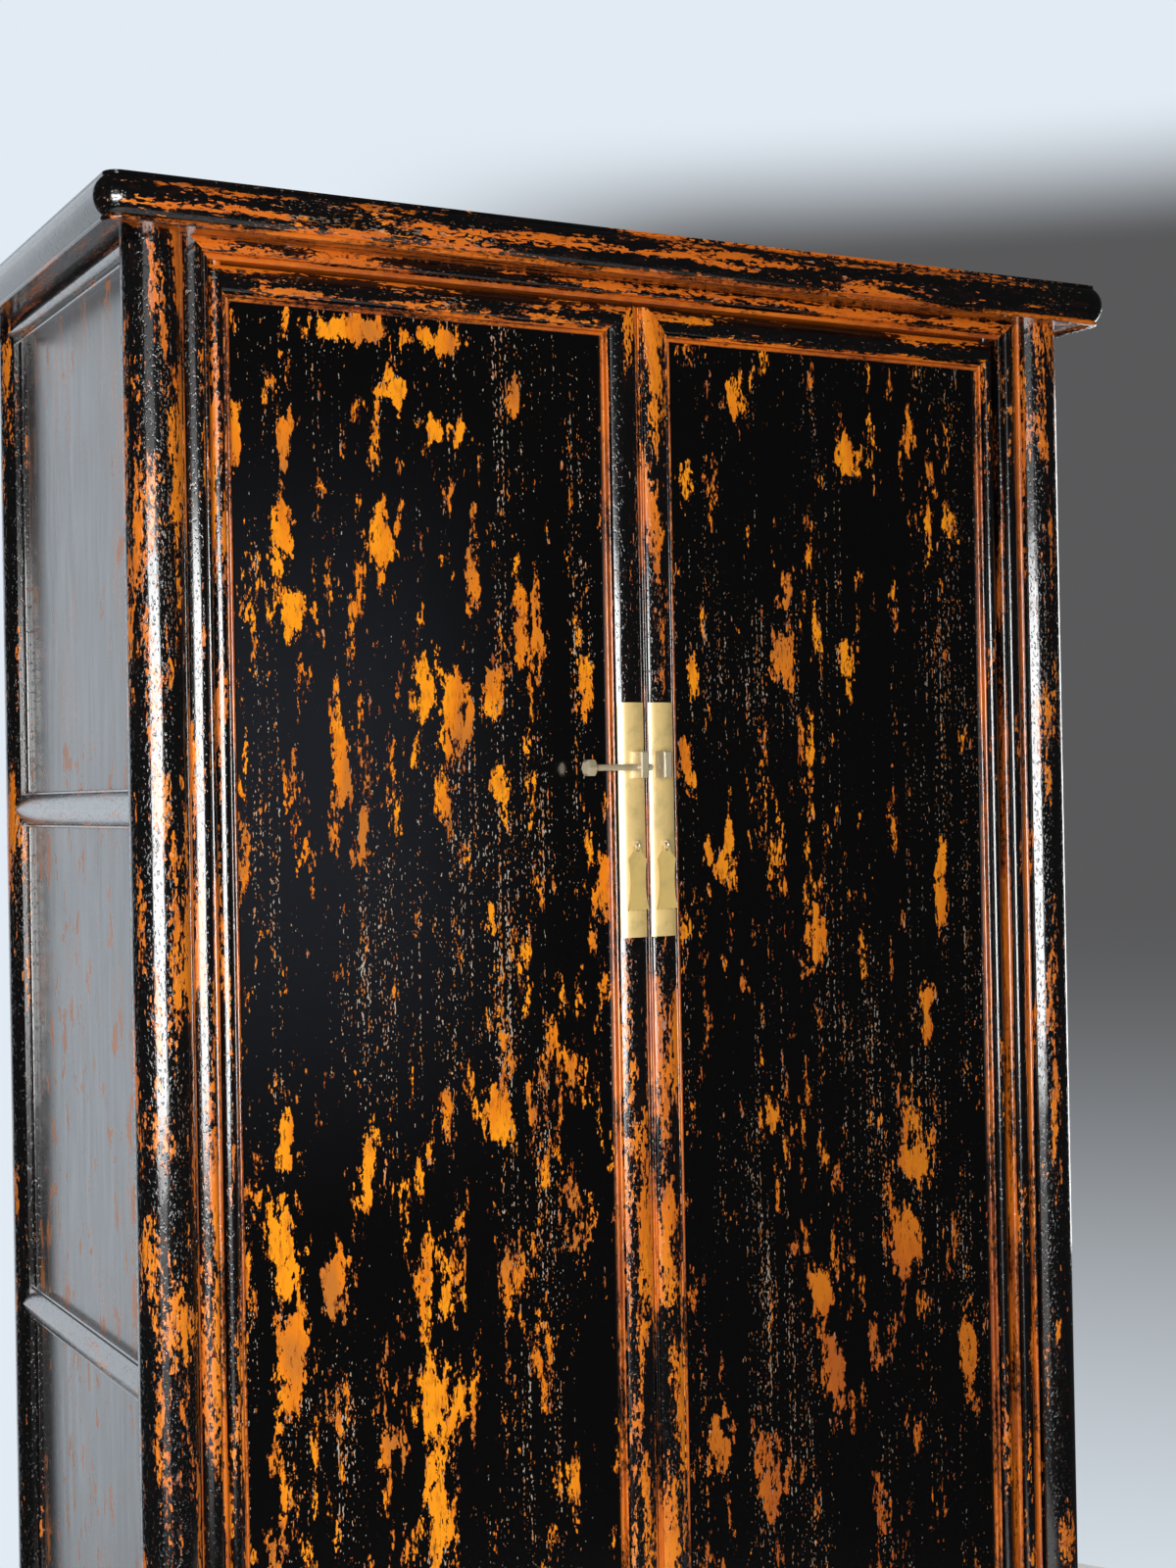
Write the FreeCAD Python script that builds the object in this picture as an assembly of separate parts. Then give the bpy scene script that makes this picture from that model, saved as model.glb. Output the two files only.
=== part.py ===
import FreeCAD, Part
import math
import os

# Two-door cabinet: moulded cap, round posts, ridged side rails, doors on wooden pivots, brass lock fittings.
# Millimetres, +Z up, doors facing -Y, origin on the floor under the middle of the cabinet.

# Carcass
HEIGHT = 1800.0             # floor to the top of the cap
POST_SPAN_X = 1000.0        # over the posts, left to right
POST_SPAN_Y = 478.0         # over the posts, front to back
POST_WIDTH = 51.0           # each way, round and bead together
POST_ROUND_DROP = 9.4       # how far the round falls back where it meets its bead
POST_BEAD_WIDTH = 5.0
POST_BEAD_SETBACK = 17.0    # foot of the bead behind the front of the post
POST_BEAD_RISE = 2.4

# Cap
CAP_THICKNESS = 38.0        # soffit to top
CAP_OVERHANG = 34.0         # past the posts on every side
CAP_FRAME_WIDTH = 92.0
CAP_CORNER_RADIUS = 22.0
CAP_STEP_HEIGHT = 3.0       # square step above the round nose
CAP_STEP_INSET = 8.5        # step behind the tip of the nose
CAP_LIP_DROP = 3.0          # bead below the soffit
CAP_LIP_HEIGHT = 4.5
CAP_LIP_WIDTH = 6.0
CAP_LIP_INSET = 7.5         # bead behind the tip of the nose
CAP_LIP_RISE = 1.4
CAP_PANEL_THICKNESS = 14.0
CAP_PANEL_DROP = 2.0        # panel below the top of its frame

# Door surround: jambs beside the posts, lintel and sill between them
JAMB_WIDTH = 23.0
JAMB_SETBACK = 13.0         # crown of the round behind the front of the posts
JAMB_DEPTH = 36.0
JAMB_CROWN = 10.0           # crown from the edge beside the door
JAMB_FALL = 4.5             # how far the round falls back towards the bead
JAMB_DROP = 6.5             # how far it falls back towards the far edge
JAMB_BEAD_WIDTH = 5.5
JAMB_BEAD_SETBACK = 6.5     # foot of the bead behind the crown
JAMB_BEAD_RISE = 2.0
LINTEL_HEIGHT = 17.0        # that shows below the cap, and of the uppermost wall rails
SILL_HEIGHT = 35.0

# Side and back walls
RAIL_HEIGHT = 35.0
RAIL_SETBACK = 4.0          # ridge behind the outside of the posts
RAIL_RIDGE_DROP = 9.0       # ridge to the edge of its slopes
RAIL_SLOPE_RISE = 1.2       # belly of each slope
RAIL_BEAD_WIDTH = 3.2
RAIL_BEAD_STEP = 2.2
RAIL_BEAD_RISE = 1.2
RAIL_INNER_SETBACK = 44.0   # inside face behind the outside of the posts
SIDE_PANEL_HEIGHTS = (453.0, 461.0, 457.0)   # visible, from the top down
WALL_PANEL_SETBACK = 20.0   # behind the outside of the posts
WALL_PANEL_THICKNESS = 10.0
BACK_RAIL_SETBACK = 12.0
GROOVE_DEPTH = 8.0          # wall and cap panels into their frames
GROOVE_CLEARANCE = 0.15     # each side of a panel
PANEL_FLOAT = 1.0           # room for a panel to swell in its grooves

# Shelves and floor
SHELF_THICKNESS = 18.0
FLOOR_THICKNESS = 14.0
SHELF_SIDE_GAP = 2.0        # shelf edge to the wall panels and posts
SHELF_DOOR_GAP = 4.0        # shelf edge to the back of the doors

# Aprons under the carcass
APRON_HEIGHT = 58.0
APRON_THICKNESS = 16.0
APRON_SETBACK = 25.0        # behind the outside of the posts
APRON_BEAD_HEIGHT = 7.0
APRON_BEAD_RISE = 3.0
SPANDREL_WIDTH = 78.0
SPANDREL_HEIGHT = 96.0
SPANDREL_TOE = 11.0         # width at the foot
SPANDREL_WAIST = 26.0       # width where its two curves meet
SPANDREL_WAIST_DROP = 40.0  # that meeting below the apron

# Doors
DOOR_THICKNESS = 26.0
DOOR_SETBACK = 21.0         # front of the doors behind the front of the posts
DOOR_GAP = 3.0              # above and below
DOOR_SIDE_GAP = 1.5         # pivot stile to jamb
DOOR_MEETING_GAP = 1.5      # between the two doors
PIVOT_STILE_WIDTH = 20.5
MEETING_STILE_WIDTH = 36.5
DOOR_RAIL_WIDTH = 29.0
FRAME_DROP = 4.5            # how far the round face falls back beside its beads
FRAME_BEAD_WIDTH = 3.6
FRAME_BEAD_STEP = 2.3
FRAME_BEAD_RISE = 1.4
FRAME_BEADS = 2
MITRE_COVER = 1.0           # wood behind the beads in the mitred corner lips
EDGE_BEAD_WIDTH = 1.8
EDGE_BEAD_STEP = 1.5
EDGE_BEAD_RISE = 0.8
EDGE_BEADS = 2
DOOR_PANEL_THICKNESS = 8.0
DOOR_PANEL_COVER = 2.4      # panel face behind the last bead's foot
DOOR_GROOVE_DEPTH = 6.0
BATTEN_HEIGHT = 30.0
BATTEN_RECESS = 1.5         # behind the back face of the door
BATTEN_END_GAP = 0.5
BATTENS = 3
PIVOT_EDGE = 8.5            # pivot axis from the outer edge and the front, and the radius of that corner
PIVOT_RADIUS = 5.0
PIVOT_LENGTH = 13.0
PIVOT_CLEARANCE = 0.06      # on the radius, in the sockets
PIVOT_END_GAP = 0.3

# Brass fittings
PLATE_LENGTH = 222.0
PLATE_THICKNESS = 1.2
PLATE_EDGE = 2.0            # plate edge from the meeting edge
PLATE_DROP = 376.0          # top of the plate below the top of the door
LUG_DROP = 59.0             # middle of the lug below the top of the plate
LUG_WIDTH = 8.5
LUG_HEIGHT = 25.0
LUG_REACH = 17.0            # out from the plate
LUG_EDGE = 7.5              # lug from the meeting edge
LUG_CHAMFER = 1.2
PIN_RADIUS = 3.0
PIN_CLEARANCE = 0.06        # on the radius, in the lugs
PIN_REACH = 10.0            # pin axis out from the plate
PIN_DROP = 2.5              # pin axis below the middle of the lugs
PIN_HEAD_ACROSS = 15.0      # across the flats
PIN_HEAD_LENGTH = 11.0
PIN_HEAD_CHAMFER = 2.2
PIN_HEAD_GAP = 1.0          # head to lug when the pin is home
PIN_TIP_REACH = 43.5        # tip past the middle of the cabinet when the pin is home
PIN_TIP_CHAMFER = 0.8
PIN_TRAVEL = 45.0           # drawn back from home, as modelled
EYE_DROP = 135.0            # middle of the eye below the top of the plate
EYE_EDGE = 15.0             # eye and pendant from the meeting edge
EYE_RADIUS = 3.6            # middle of the wire
EYE_WIRE_RADIUS = 1.3
EYE_SHANK_RADIUS = 1.6
PENDANT_LENGTH = 61.5       # below the middle of the eye
PENDANT_THICKNESS = 1.6
PENDANT_TOP_GAP = 0.3       # top edge below the middle of the eye
PENDANT_CLEARANCE = 0.4     # pendant hole to the wire it hangs on
PENDANT_HOLE_RADIUS = 1.95
PENDANT_TOP_HALF = 3.8
PENDANT_SHOULDER_HALF = 9.4
PENDANT_SHOULDER_DROP = 13.5
PENDANT_WAIST_HALF = 7.4
PENDANT_WAIST_DROP = 37.0
PENDANT_FOOT_HALF = 11.3
PENDANT_SCALLOPS = 4
PENDANT_SCALLOP_RISE = 1.3

V = FreeCAD.Vector
X = V(1, 0, 0)
Y = V(0, 1, 0)
Z = V(0, 0, 1)
ORIGIN = V(0, 0, 0)

# Planes and levels worked out from the sizes above, for the left half; the right half mirrors it
SIDE = POST_SPAN_X / 2
FRONT = -POST_SPAN_Y / 2
POST_INNER_X = SIDE - POST_WIDTH
POST_INNER_Y = -FRONT - POST_WIDTH
CAP_SOFFIT = HEIGHT - CAP_THICKNESS
CAP_HALF_X = SIDE + CAP_OVERHANG
CAP_HALF_Y = -FRONT + CAP_OVERHANG
LINTEL_BOTTOM = CAP_SOFFIT - LINTEL_HEIGHT
OPENING_HALF = POST_INNER_X - JAMB_WIDTH
JAMB_FRONT = FRONT + JAMB_SETBACK
JAMB_BACK = JAMB_FRONT + JAMB_DEPTH
WALL_PANEL_BACK = WALL_PANEL_SETBACK + WALL_PANEL_THICKNESS

DOOR_FRONT = FRONT + DOOR_SETBACK
DOOR_BACK = DOOR_FRONT + DOOR_THICKNESS
DOOR_OUTER = OPENING_HALF - DOOR_SIDE_GAP
DOOR_EDGE = DOOR_MEETING_GAP / 2
DOOR_TOP = LINTEL_BOTTOM - DOOR_GAP
PIVOT_X = DOOR_OUTER - PIVOT_EDGE
PIVOT_Y = DOOR_FRONT + PIVOT_EDGE
BEAD_BAND = FRAME_BEADS * FRAME_BEAD_WIDTH
BEAD_FOOT = FRAME_DROP + FRAME_BEADS * FRAME_BEAD_STEP
MITRE_DEPTH = BEAD_FOOT + MITRE_COVER
DOOR_PANEL_SETBACK = BEAD_FOOT + DOOR_PANEL_COVER
DOOR_PANEL_LEFT = -DOOR_OUTER + PIVOT_STILE_WIDTH
DOOR_PANEL_RIGHT = -DOOR_EDGE - MEETING_STILE_WIDTH
DOOR_PANEL_TOP = DOOR_TOP - DOOR_RAIL_WIDTH

# The round of the meeting stiles, which the brass plates wrap
CROWN_CHORD = MEETING_STILE_WIDTH - BEAD_BAND
CROWN_RADIUS = (CROWN_CHORD ** 2 / 4 + FRAME_DROP ** 2) / (2 * FRAME_DROP)
CROWN_X = -DOOR_EDGE - CROWN_CHORD / 2
CROWN_Y = DOOR_FRONT + CROWN_RADIUS
PLATE_TOP = DOOR_TOP - PLATE_DROP
PLATE_FRONT = DOOR_FRONT - PLATE_THICKNESS
PIN_Y = PLATE_FRONT - PIN_REACH
PIN_Z = PLATE_TOP - LUG_DROP - PIN_DROP
EYE_X = -DOOR_EDGE - EYE_EDGE
EYE_Y = PLATE_FRONT - EYE_RADIUS - EYE_WIRE_RADIUS
EYE_Z = PLATE_TOP - EYE_DROP


def rail_tops():
    """Tops of the side rails below the uppermost one, from the top down."""
    tops = []
    level = LINTEL_BOTTOM
    for height in SIDE_PANEL_HEIGHTS:
        level -= height
        tops.append(level)
        level -= RAIL_HEIGHT
    return tops


UPPER_RAIL_TOP, LOWER_RAIL_TOP, BOTTOM_RAIL_TOP = rail_tops()
SILL_TOP = BOTTOM_RAIL_TOP
APRON_TOP = BOTTOM_RAIL_TOP - RAIL_HEIGHT
DOOR_BOTTOM = SILL_TOP + DOOR_GAP
DOOR_PANEL_BOTTOM = DOOR_BOTTOM + DOOR_RAIL_WIDTH


def box(low, high):
    """Block between two opposite corners."""
    size = V(*high) - V(*low)
    return Part.makeBox(size.x, size.y, size.z, V(*low))


def section(outline, origin, along_a, along_b):
    """Face from (a, b) points; a pair of points is an arc through the first to the second."""
    def place(point):
        return origin + along_a * point[0] + along_b * point[1]

    edges = []
    last = place(outline[0])
    for step in outline[1:] + outline[:1]:
        if isinstance(step[0], tuple):
            end = place(step[1])
            edges.append(Part.Arc(last, place(step[0]), end).toShape())
        else:
            end = place(step)
            edges.append(Part.LineSegment(last, end).toShape())
        last = end
    return Part.Face(Part.Wire(edges))


def prism(outline, origin, along_a, along_b, run):
    """Moulding of one section along a straight run."""
    return section(outline, origin, along_a, along_b).extrude(run)


def mirror_x(shape):
    """The right-hand piece that matches a left-hand one."""
    return shape.mirror(ORIGIN, X)


def mirror_y(shape):
    """The back piece that matches a front one."""
    return shape.mirror(ORIGIN, Y)


def bead(a0, a1, foot, rise):
    """Outline steps for one round bead that stands on depth foot."""
    return [(a0, foot), (((a0 + a1) / 2, foot - rise), (a1, foot))]


def round_middle(crown, end, drop):
    """Middle of the arc that leaves a crown level and has fallen by drop at its end."""
    run = end - crown
    radius = (run ** 2 + drop ** 2) / (2 * drop)
    half_turn = math.atan2(abs(run), radius - drop) / 2
    return (crown + math.copysign(radius * math.sin(half_turn), run), radius * (1 - math.cos(half_turn)))


def post():
    """Front left post: round outside, a bead beside the jamb and another beside the side panels."""
    run_out = POST_WIDTH - POST_BEAD_WIDTH
    total = run_out + POST_ROUND_DROP
    radius = total - math.sqrt(2 * run_out * POST_ROUND_DROP)
    corner = radius * (1 - math.sqrt(0.5))
    crest = POST_BEAD_SETBACK - POST_BEAD_RISE
    middle = POST_WIDTH - POST_BEAD_WIDTH / 2
    outline = [
        (POST_WIDTH, POST_WIDTH),
        (POST_WIDTH, POST_BEAD_SETBACK),
        ((middle, crest), (run_out, POST_BEAD_SETBACK)),
        (run_out, POST_ROUND_DROP),
        ((corner, corner), (POST_ROUND_DROP, run_out)),
        (POST_BEAD_SETBACK, run_out),
        ((crest, middle), (POST_BEAD_SETBACK, POST_WIDTH)),
    ]
    return prism(outline, V(-SIDE, FRONT, 0), X, Y, Z * CAP_SOFFIT)


def wall_slot(outer, across, start, end, low, high):
    """Room for a wall panel: across is the outward direction, start to end runs along the wall."""
    along = Y if abs(across.x) else X
    near = across * (outer - WALL_PANEL_SETBACK + GROOVE_CLEARANCE)
    far = across * (outer - WALL_PANEL_BACK - GROOVE_CLEARANCE)
    corners = [near + along * start + Z * low, far + along * end + Z * high]
    bounds = FreeCAD.BoundBox(corners[0], corners[1])
    return box((bounds.XMin, bounds.YMin, bounds.ZMin), (bounds.XMax, bounds.YMax, bounds.ZMax))


def wall_panel(outer, across, half, low, high):
    """Panel that stands in the bottom groove and floats in the other three."""
    slot = wall_slot(outer, across, -half, half, low, high)
    bounds = slot.BoundBox
    trim = across * GROOVE_CLEARANCE
    along = Y if abs(across.x) else X
    room = V(abs(trim.x), abs(trim.y), 0) + along * PANEL_FLOAT
    low_corner = V(bounds.XMin, bounds.YMin, bounds.ZMin) + room
    high_corner = V(bounds.XMax, bounds.YMax, bounds.ZMax) - room - Z * PANEL_FLOAT
    return box(tuple(low_corner), tuple(high_corner))


def ridged_outline(height):
    """Side rail section, a down from its top edge, b in from the outside of the posts."""
    foot = RAIL_SETBACK + RAIL_RIDGE_DROP
    bead_foot = foot + RAIL_BEAD_STEP
    ridge = height / 2
    belly = RAIL_SETBACK + RAIL_RIDGE_DROP / 2 - RAIL_SLOPE_RISE
    upper = (ridge + RAIL_BEAD_WIDTH) / 2
    return (
        bead(0, RAIL_BEAD_WIDTH, bead_foot, RAIL_BEAD_RISE)
        + [(RAIL_BEAD_WIDTH, foot), ((upper, belly), (ridge, RAIL_SETBACK))]
        + [((height - upper, belly), (height - RAIL_BEAD_WIDTH, foot))]
        + bead(height - RAIL_BEAD_WIDTH, height, bead_foot, RAIL_BEAD_RISE)
        + [(height, RAIL_INNER_SETBACK), (0, RAIL_INNER_SETBACK)]
    )


def side_rail(top, height, posts):
    """Left rail, scribed over the rounds of its two posts."""
    reach = -FRONT - POST_WIDTH / 2
    outline = ridged_outline(height)
    rail = prism(outline, V(-SIDE, -reach, top), -Z, X, Y * (2 * reach))
    return rail.cut(posts)


def surround_outline(width):
    """Bead beside the door, then a round that falls to the far edge; a from the door, b in from the crown."""
    return (
        bead(0, JAMB_BEAD_WIDTH, JAMB_BEAD_SETBACK, JAMB_BEAD_RISE)
        + [(JAMB_BEAD_WIDTH, JAMB_FALL)]
        + [(round_middle(JAMB_CROWN, JAMB_BEAD_WIDTH, JAMB_FALL), (JAMB_CROWN, 0))]
        + [(round_middle(JAMB_CROWN, width, JAMB_DROP), (width, JAMB_DROP))]
        + [(width, JAMB_DEPTH), (0, JAMB_DEPTH)]
    )


def corner_wedge(corner_x, corner_z, side, up, depth_low, depth_high):
    """Half-plane block beyond a 45 degree mitre line that leaves the corner outward and up or down."""
    reach = 4 * max(JAMB_WIDTH, DOOR_RAIL_WIDTH, MEETING_STILE_WIDTH)
    outline = [
        (corner_x, corner_z),
        (corner_x, corner_z + up * reach),
        (corner_x + side * reach, corner_z + up * reach),
    ]
    return prism(outline, V(0, depth_low, 0), X, Z, Y * (depth_high - depth_low))


def pivot_socket(level, rise):
    """Hole for one door pivot, from a level up or down by rise."""
    low = min(level, level + rise)
    return Part.makeCylinder(PIVOT_RADIUS + PIVOT_CLEARANCE, abs(rise), V(-PIVOT_X, PIVOT_Y, low), Z)


def surround(parts):
    """Lintel, jambs and sill around the doors, with the pivot sockets."""
    socket_rise = PIVOT_LENGTH - DOOR_GAP + PIVOT_END_GAP
    top_socket = pivot_socket(LINTEL_BOTTOM, socket_rise)
    sill_socket = pivot_socket(SILL_TOP, -socket_rise)
    mitre = corner_wedge(-OPENING_HALF, LINTEL_BOTTOM, -1, 1, JAMB_FRONT, JAMB_BACK)
    middle = box((-OPENING_HALF, JAMB_FRONT, LINTEL_BOTTOM), (OPENING_HALF, JAMB_BACK, CAP_SOFFIT))
    below_cap = box((-POST_INNER_X, JAMB_FRONT, LINTEL_BOTTOM), (POST_INNER_X, JAMB_BACK, CAP_SOFFIT))
    reach = middle.fuse([mitre, mirror_x(mitre)]).common(below_cap)

    across = X * (2 * POST_INNER_X)
    outline = surround_outline(JAMB_WIDTH)
    lintel = prism(outline, V(-POST_INNER_X, JAMB_FRONT, LINTEL_BOTTOM), Z, Y, across)
    lintel = lintel.common(reach).cut([top_socket, mirror_x(top_socket)])
    jamb = prism(outline, V(-OPENING_HALF, JAMB_FRONT, SILL_TOP), -X, Y, Z * (CAP_SOFFIT - SILL_TOP))
    jamb = jamb.cut(mitre)
    sill = prism(surround_outline(SILL_HEIGHT), V(-POST_INNER_X, JAMB_FRONT, SILL_TOP), -Z, Y, across)
    parts["lintel"] = lintel.removeSplitter()
    parts["left_jamb"] = jamb
    parts["right_jamb"] = mirror_x(jamb)
    parts["sill"] = sill.cut([sill_socket, mirror_x(sill_socket)])


def cap_nose():
    """Rim section outside the corner axis, a outward and b up from the soffit."""
    step = CAP_CORNER_RADIUS - CAP_STEP_INSET
    lip = CAP_CORNER_RADIUS - CAP_LIP_INSET
    nose_top = CAP_THICKNESS - CAP_STEP_HEIGHT
    lip_top = CAP_LIP_HEIGHT - CAP_LIP_DROP
    lip_middle = lip_top - CAP_LIP_HEIGHT / 2
    return [
        (0, CAP_THICKNESS),
        (step, CAP_THICKNESS),
        (step, nose_top),
        ((CAP_CORNER_RADIUS, (nose_top + lip_top) / 2), (lip, lip_top)),
        ((lip + CAP_LIP_RISE, lip_middle), (lip, -CAP_LIP_DROP)),
        (lip - CAP_LIP_WIDTH, -CAP_LIP_DROP),
        (lip - CAP_LIP_WIDTH, 0),
        (0, 0),
    ]


def cap_ring():
    """Whole moulded cap frame before it is cut into four mitred rails."""
    axis_x = CAP_HALF_X - CAP_CORNER_RADIUS
    axis_y = CAP_HALF_Y - CAP_CORNER_RADIUS
    nose = cap_nose()
    front = prism(nose, V(-axis_x, -axis_y, CAP_SOFFIT), -Y, Z, X * (2 * axis_x))
    left = prism(nose, V(-axis_x, -axis_y, CAP_SOFFIT), -X, Z, Y * (2 * axis_y))
    corner = section(nose, V(-axis_x, -axis_y, CAP_SOFFIT), -X, Z)
    corner = corner.revolve(V(-axis_x, -axis_y, CAP_SOFFIT), Z, 90)
    core = box((-axis_x, -axis_y, CAP_SOFFIT), (axis_x, axis_y, HEIGHT))
    pieces = [front, mirror_y(front), left, mirror_x(left)]
    pieces += [corner, mirror_x(corner), mirror_y(corner), mirror_x(mirror_y(corner))]
    inner_x = CAP_HALF_X - CAP_FRAME_WIDTH
    inner_y = CAP_HALF_Y - CAP_FRAME_WIDTH
    hole = box((-inner_x, -inner_y, CAP_SOFFIT), (inner_x, inner_y, HEIGHT))
    slot_top = HEIGHT - CAP_PANEL_DROP + GROOVE_CLEARANCE
    slot_bottom = HEIGHT - CAP_PANEL_DROP - CAP_PANEL_THICKNESS - GROOVE_CLEARANCE
    slot_x = inner_x + GROOVE_DEPTH
    slot_y = inner_y + GROOVE_DEPTH
    slot = box((-slot_x, -slot_y, slot_bottom), (slot_x, slot_y, slot_top))
    return core.fuse(pieces).cut([hole, slot]).removeSplitter()


def cap(parts):
    """Four mitred rails and the panel that floats in them."""
    ring = cap_ring()
    low = CAP_SOFFIT - CAP_LIP_DROP
    depth = HEIGHT - low
    run = CAP_HALF_X - CAP_HALF_Y
    front_plan = [(-CAP_HALF_X, -CAP_HALF_Y), (CAP_HALF_X, -CAP_HALF_Y), (run, 0), (-run, 0)]
    left_plan = [(-CAP_HALF_X, -CAP_HALF_Y), (-run, 0), (-CAP_HALF_X, CAP_HALF_Y)]
    base = V(0, 0, low)
    front = ring.common(prism(front_plan, base, X, Y, Z * depth))
    left = ring.common(prism(left_plan, base, X, Y, Z * depth))
    parts["cap_front_rail"] = front
    parts["cap_back_rail"] = mirror_y(front)
    parts["cap_left_rail"] = left
    parts["cap_right_rail"] = mirror_x(left)
    half_x = CAP_HALF_X - CAP_FRAME_WIDTH + GROOVE_DEPTH - PANEL_FLOAT
    half_y = CAP_HALF_Y - CAP_FRAME_WIDTH + GROOVE_DEPTH - PANEL_FLOAT
    top = HEIGHT - CAP_PANEL_DROP
    bottom = top - CAP_PANEL_THICKNESS - GROOVE_CLEARANCE
    parts["cap_panel"] = box((-half_x, -half_y, bottom), (half_x, half_y, top))


def carcass(parts):
    """Posts, side walls and back wall."""
    front_post = post()
    back_post = mirror_y(front_post)
    levels = [LINTEL_BOTTOM, UPPER_RAIL_TOP, LOWER_RAIL_TOP, BOTTOM_RAIL_TOP]
    half_y = POST_INNER_Y + GROOVE_DEPTH
    half_x = POST_INNER_X + GROOVE_DEPTH
    low = BOTTOM_RAIL_TOP - GROOVE_DEPTH
    high = LINTEL_BOTTOM + GROOVE_DEPTH
    side_groove = wall_slot(SIDE, -X, -half_y, half_y, low, high)
    back_groove = wall_slot(-FRONT, Y, -half_x, half_x, low, high)
    parts["front_left_post"] = front_post.cut(side_groove)
    parts["back_left_post"] = back_post.cut([side_groove, back_groove])
    parts["front_right_post"] = mirror_x(parts["front_left_post"])
    parts["back_right_post"] = mirror_x(parts["back_left_post"])

    slots = []
    for name, upper, lower in zip(("upper", "middle", "lower"), levels, levels[1:]):
        # each rail hangs below its level, apart from the uppermost one, whose level is its lower edge
        bottom_edge = upper if upper == LINTEL_BOTTOM else upper - RAIL_HEIGHT
        low = lower - GROOVE_DEPTH
        high = bottom_edge + GROOVE_DEPTH
        slots.append(wall_slot(SIDE, -X, -half_y, half_y, low, high))
        panel = wall_panel(SIDE, -X, half_y, low, high)
        parts["left_%s_panel" % name] = panel
        parts["right_%s_panel" % name] = mirror_x(panel)
    rails = {
        "top": (CAP_SOFFIT, LINTEL_HEIGHT),
        "upper": (UPPER_RAIL_TOP, RAIL_HEIGHT),
        "lower": (LOWER_RAIL_TOP, RAIL_HEIGHT),
        "bottom": (BOTTOM_RAIL_TOP, RAIL_HEIGHT),
    }
    for name, (top, height) in rails.items():
        rail = side_rail(top, height, [front_post, back_post]).cut(slots)
        parts["left_%s_rail" % name] = rail
        parts["right_%s_rail" % name] = mirror_x(rail)

    back = -FRONT
    for name in ("top", "bottom"):
        top, height = rails[name]
        rail = box(
            (-POST_INNER_X, back - RAIL_INNER_SETBACK, top - height),
            (POST_INNER_X, back - BACK_RAIL_SETBACK, top),
        )
        parts["back_%s_rail" % name] = rail.cut(back_groove)
    low = BOTTOM_RAIL_TOP - GROOVE_DEPTH
    parts["back_panel"] = wall_panel(back, Y, half_x, low, LINTEL_BOTTOM + GROOVE_DEPTH)


def shelves(parts):
    """Two shelves and the floor, lying on the inner ledges of the side rails."""
    half_x = SIDE - WALL_PANEL_BACK - SHELF_SIDE_GAP
    front = max(DOOR_BACK + SHELF_DOOR_GAP, JAMB_BACK + SHELF_SIDE_GAP, -POST_INNER_Y + SHELF_SIDE_GAP)
    back = POST_INNER_Y - SHELF_SIDE_GAP
    boards = {
        "upper_shelf": (UPPER_RAIL_TOP, SHELF_THICKNESS),
        "lower_shelf": (LOWER_RAIL_TOP, SHELF_THICKNESS),
        "floor_board": (BOTTOM_RAIL_TOP, FLOOR_THICKNESS),
    }
    for name, (level, thickness) in boards.items():
        parts[name] = box((-half_x, front, level), (half_x, back, level + thickness))


def apron_outline():
    """Apron section: a up from the lower edge, b in from the face, with a bead along the lower edge."""
    return (
        [(0, APRON_BEAD_RISE)]
        + [((APRON_BEAD_HEIGHT / 2, 0), (APRON_BEAD_HEIGHT, APRON_BEAD_RISE))]
        + [(APRON_HEIGHT, APRON_BEAD_RISE), (APRON_HEIGHT, APRON_THICKNESS), (0, APRON_THICKNESS)]
    )


def aprons(parts):
    """Boards between the posts under the carcass, with shaped spandrels at the front."""
    low = APRON_TOP - APRON_HEIGHT
    outline = apron_outline()
    front = prism(outline, V(-POST_INNER_X, FRONT + APRON_SETBACK, low), Z, Y, X * (2 * POST_INNER_X))
    left = prism(outline, V(-SIDE + APRON_SETBACK, -POST_INNER_Y, low), Z, X, Y * (2 * POST_INNER_Y))
    parts["front_apron"] = front
    parts["back_apron"] = mirror_y(front)
    parts["left_apron"] = left
    parts["right_apron"] = mirror_x(left)

    # the upper curve leaves the apron level
    across, drop = round_middle(SPANDREL_WIDTH, SPANDREL_WAIST, SPANDREL_WAIST_DROP)
    spandrel = [
        (0, 0),
        (SPANDREL_WIDTH, 0),
        ((across, -drop), (SPANDREL_WAIST, -SPANDREL_WAIST_DROP)),
        ((SPANDREL_WAIST, (SPANDREL_WAIST_DROP + SPANDREL_HEIGHT) * -0.5), (SPANDREL_TOE, -SPANDREL_HEIGHT)),
        (0, -SPANDREL_HEIGHT),
    ]
    base = V(-POST_INNER_X, FRONT + APRON_SETBACK + APRON_BEAD_RISE, low)
    left_spandrel = prism(spandrel, base, X, Z, Y * (APRON_THICKNESS - APRON_BEAD_RISE))
    parts["front_left_spandrel"] = left_spandrel
    parts["front_right_spandrel"] = mirror_x(left_spandrel)


def panel_beads(start):
    """Stepped beads beside a door panel, from the edge of the round face."""
    steps = []
    for index in range(FRAME_BEADS):
        near = start + index * FRAME_BEAD_WIDTH
        foot = FRAME_DROP + (index + 1) * FRAME_BEAD_STEP
        steps += bead(near, near + FRAME_BEAD_WIDTH, foot, FRAME_BEAD_RISE)
    return steps


def crown_depth(a):
    """Depth of the meeting stile's round at a distance from the meeting edge."""
    return CROWN_RADIUS - math.sqrt(CROWN_RADIUS ** 2 - (a - CROWN_CHORD / 2) ** 2)


def pivot_corner():
    """Outline steps round the outer edge of a door from its back; its front corner is round about the pivot."""
    return [
        (0, DOOR_THICKNESS),
        (0, PIVOT_EDGE),
        (round_middle(PIVOT_EDGE, 0, PIVOT_EDGE), (PIVOT_EDGE, 0)),
    ]


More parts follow.
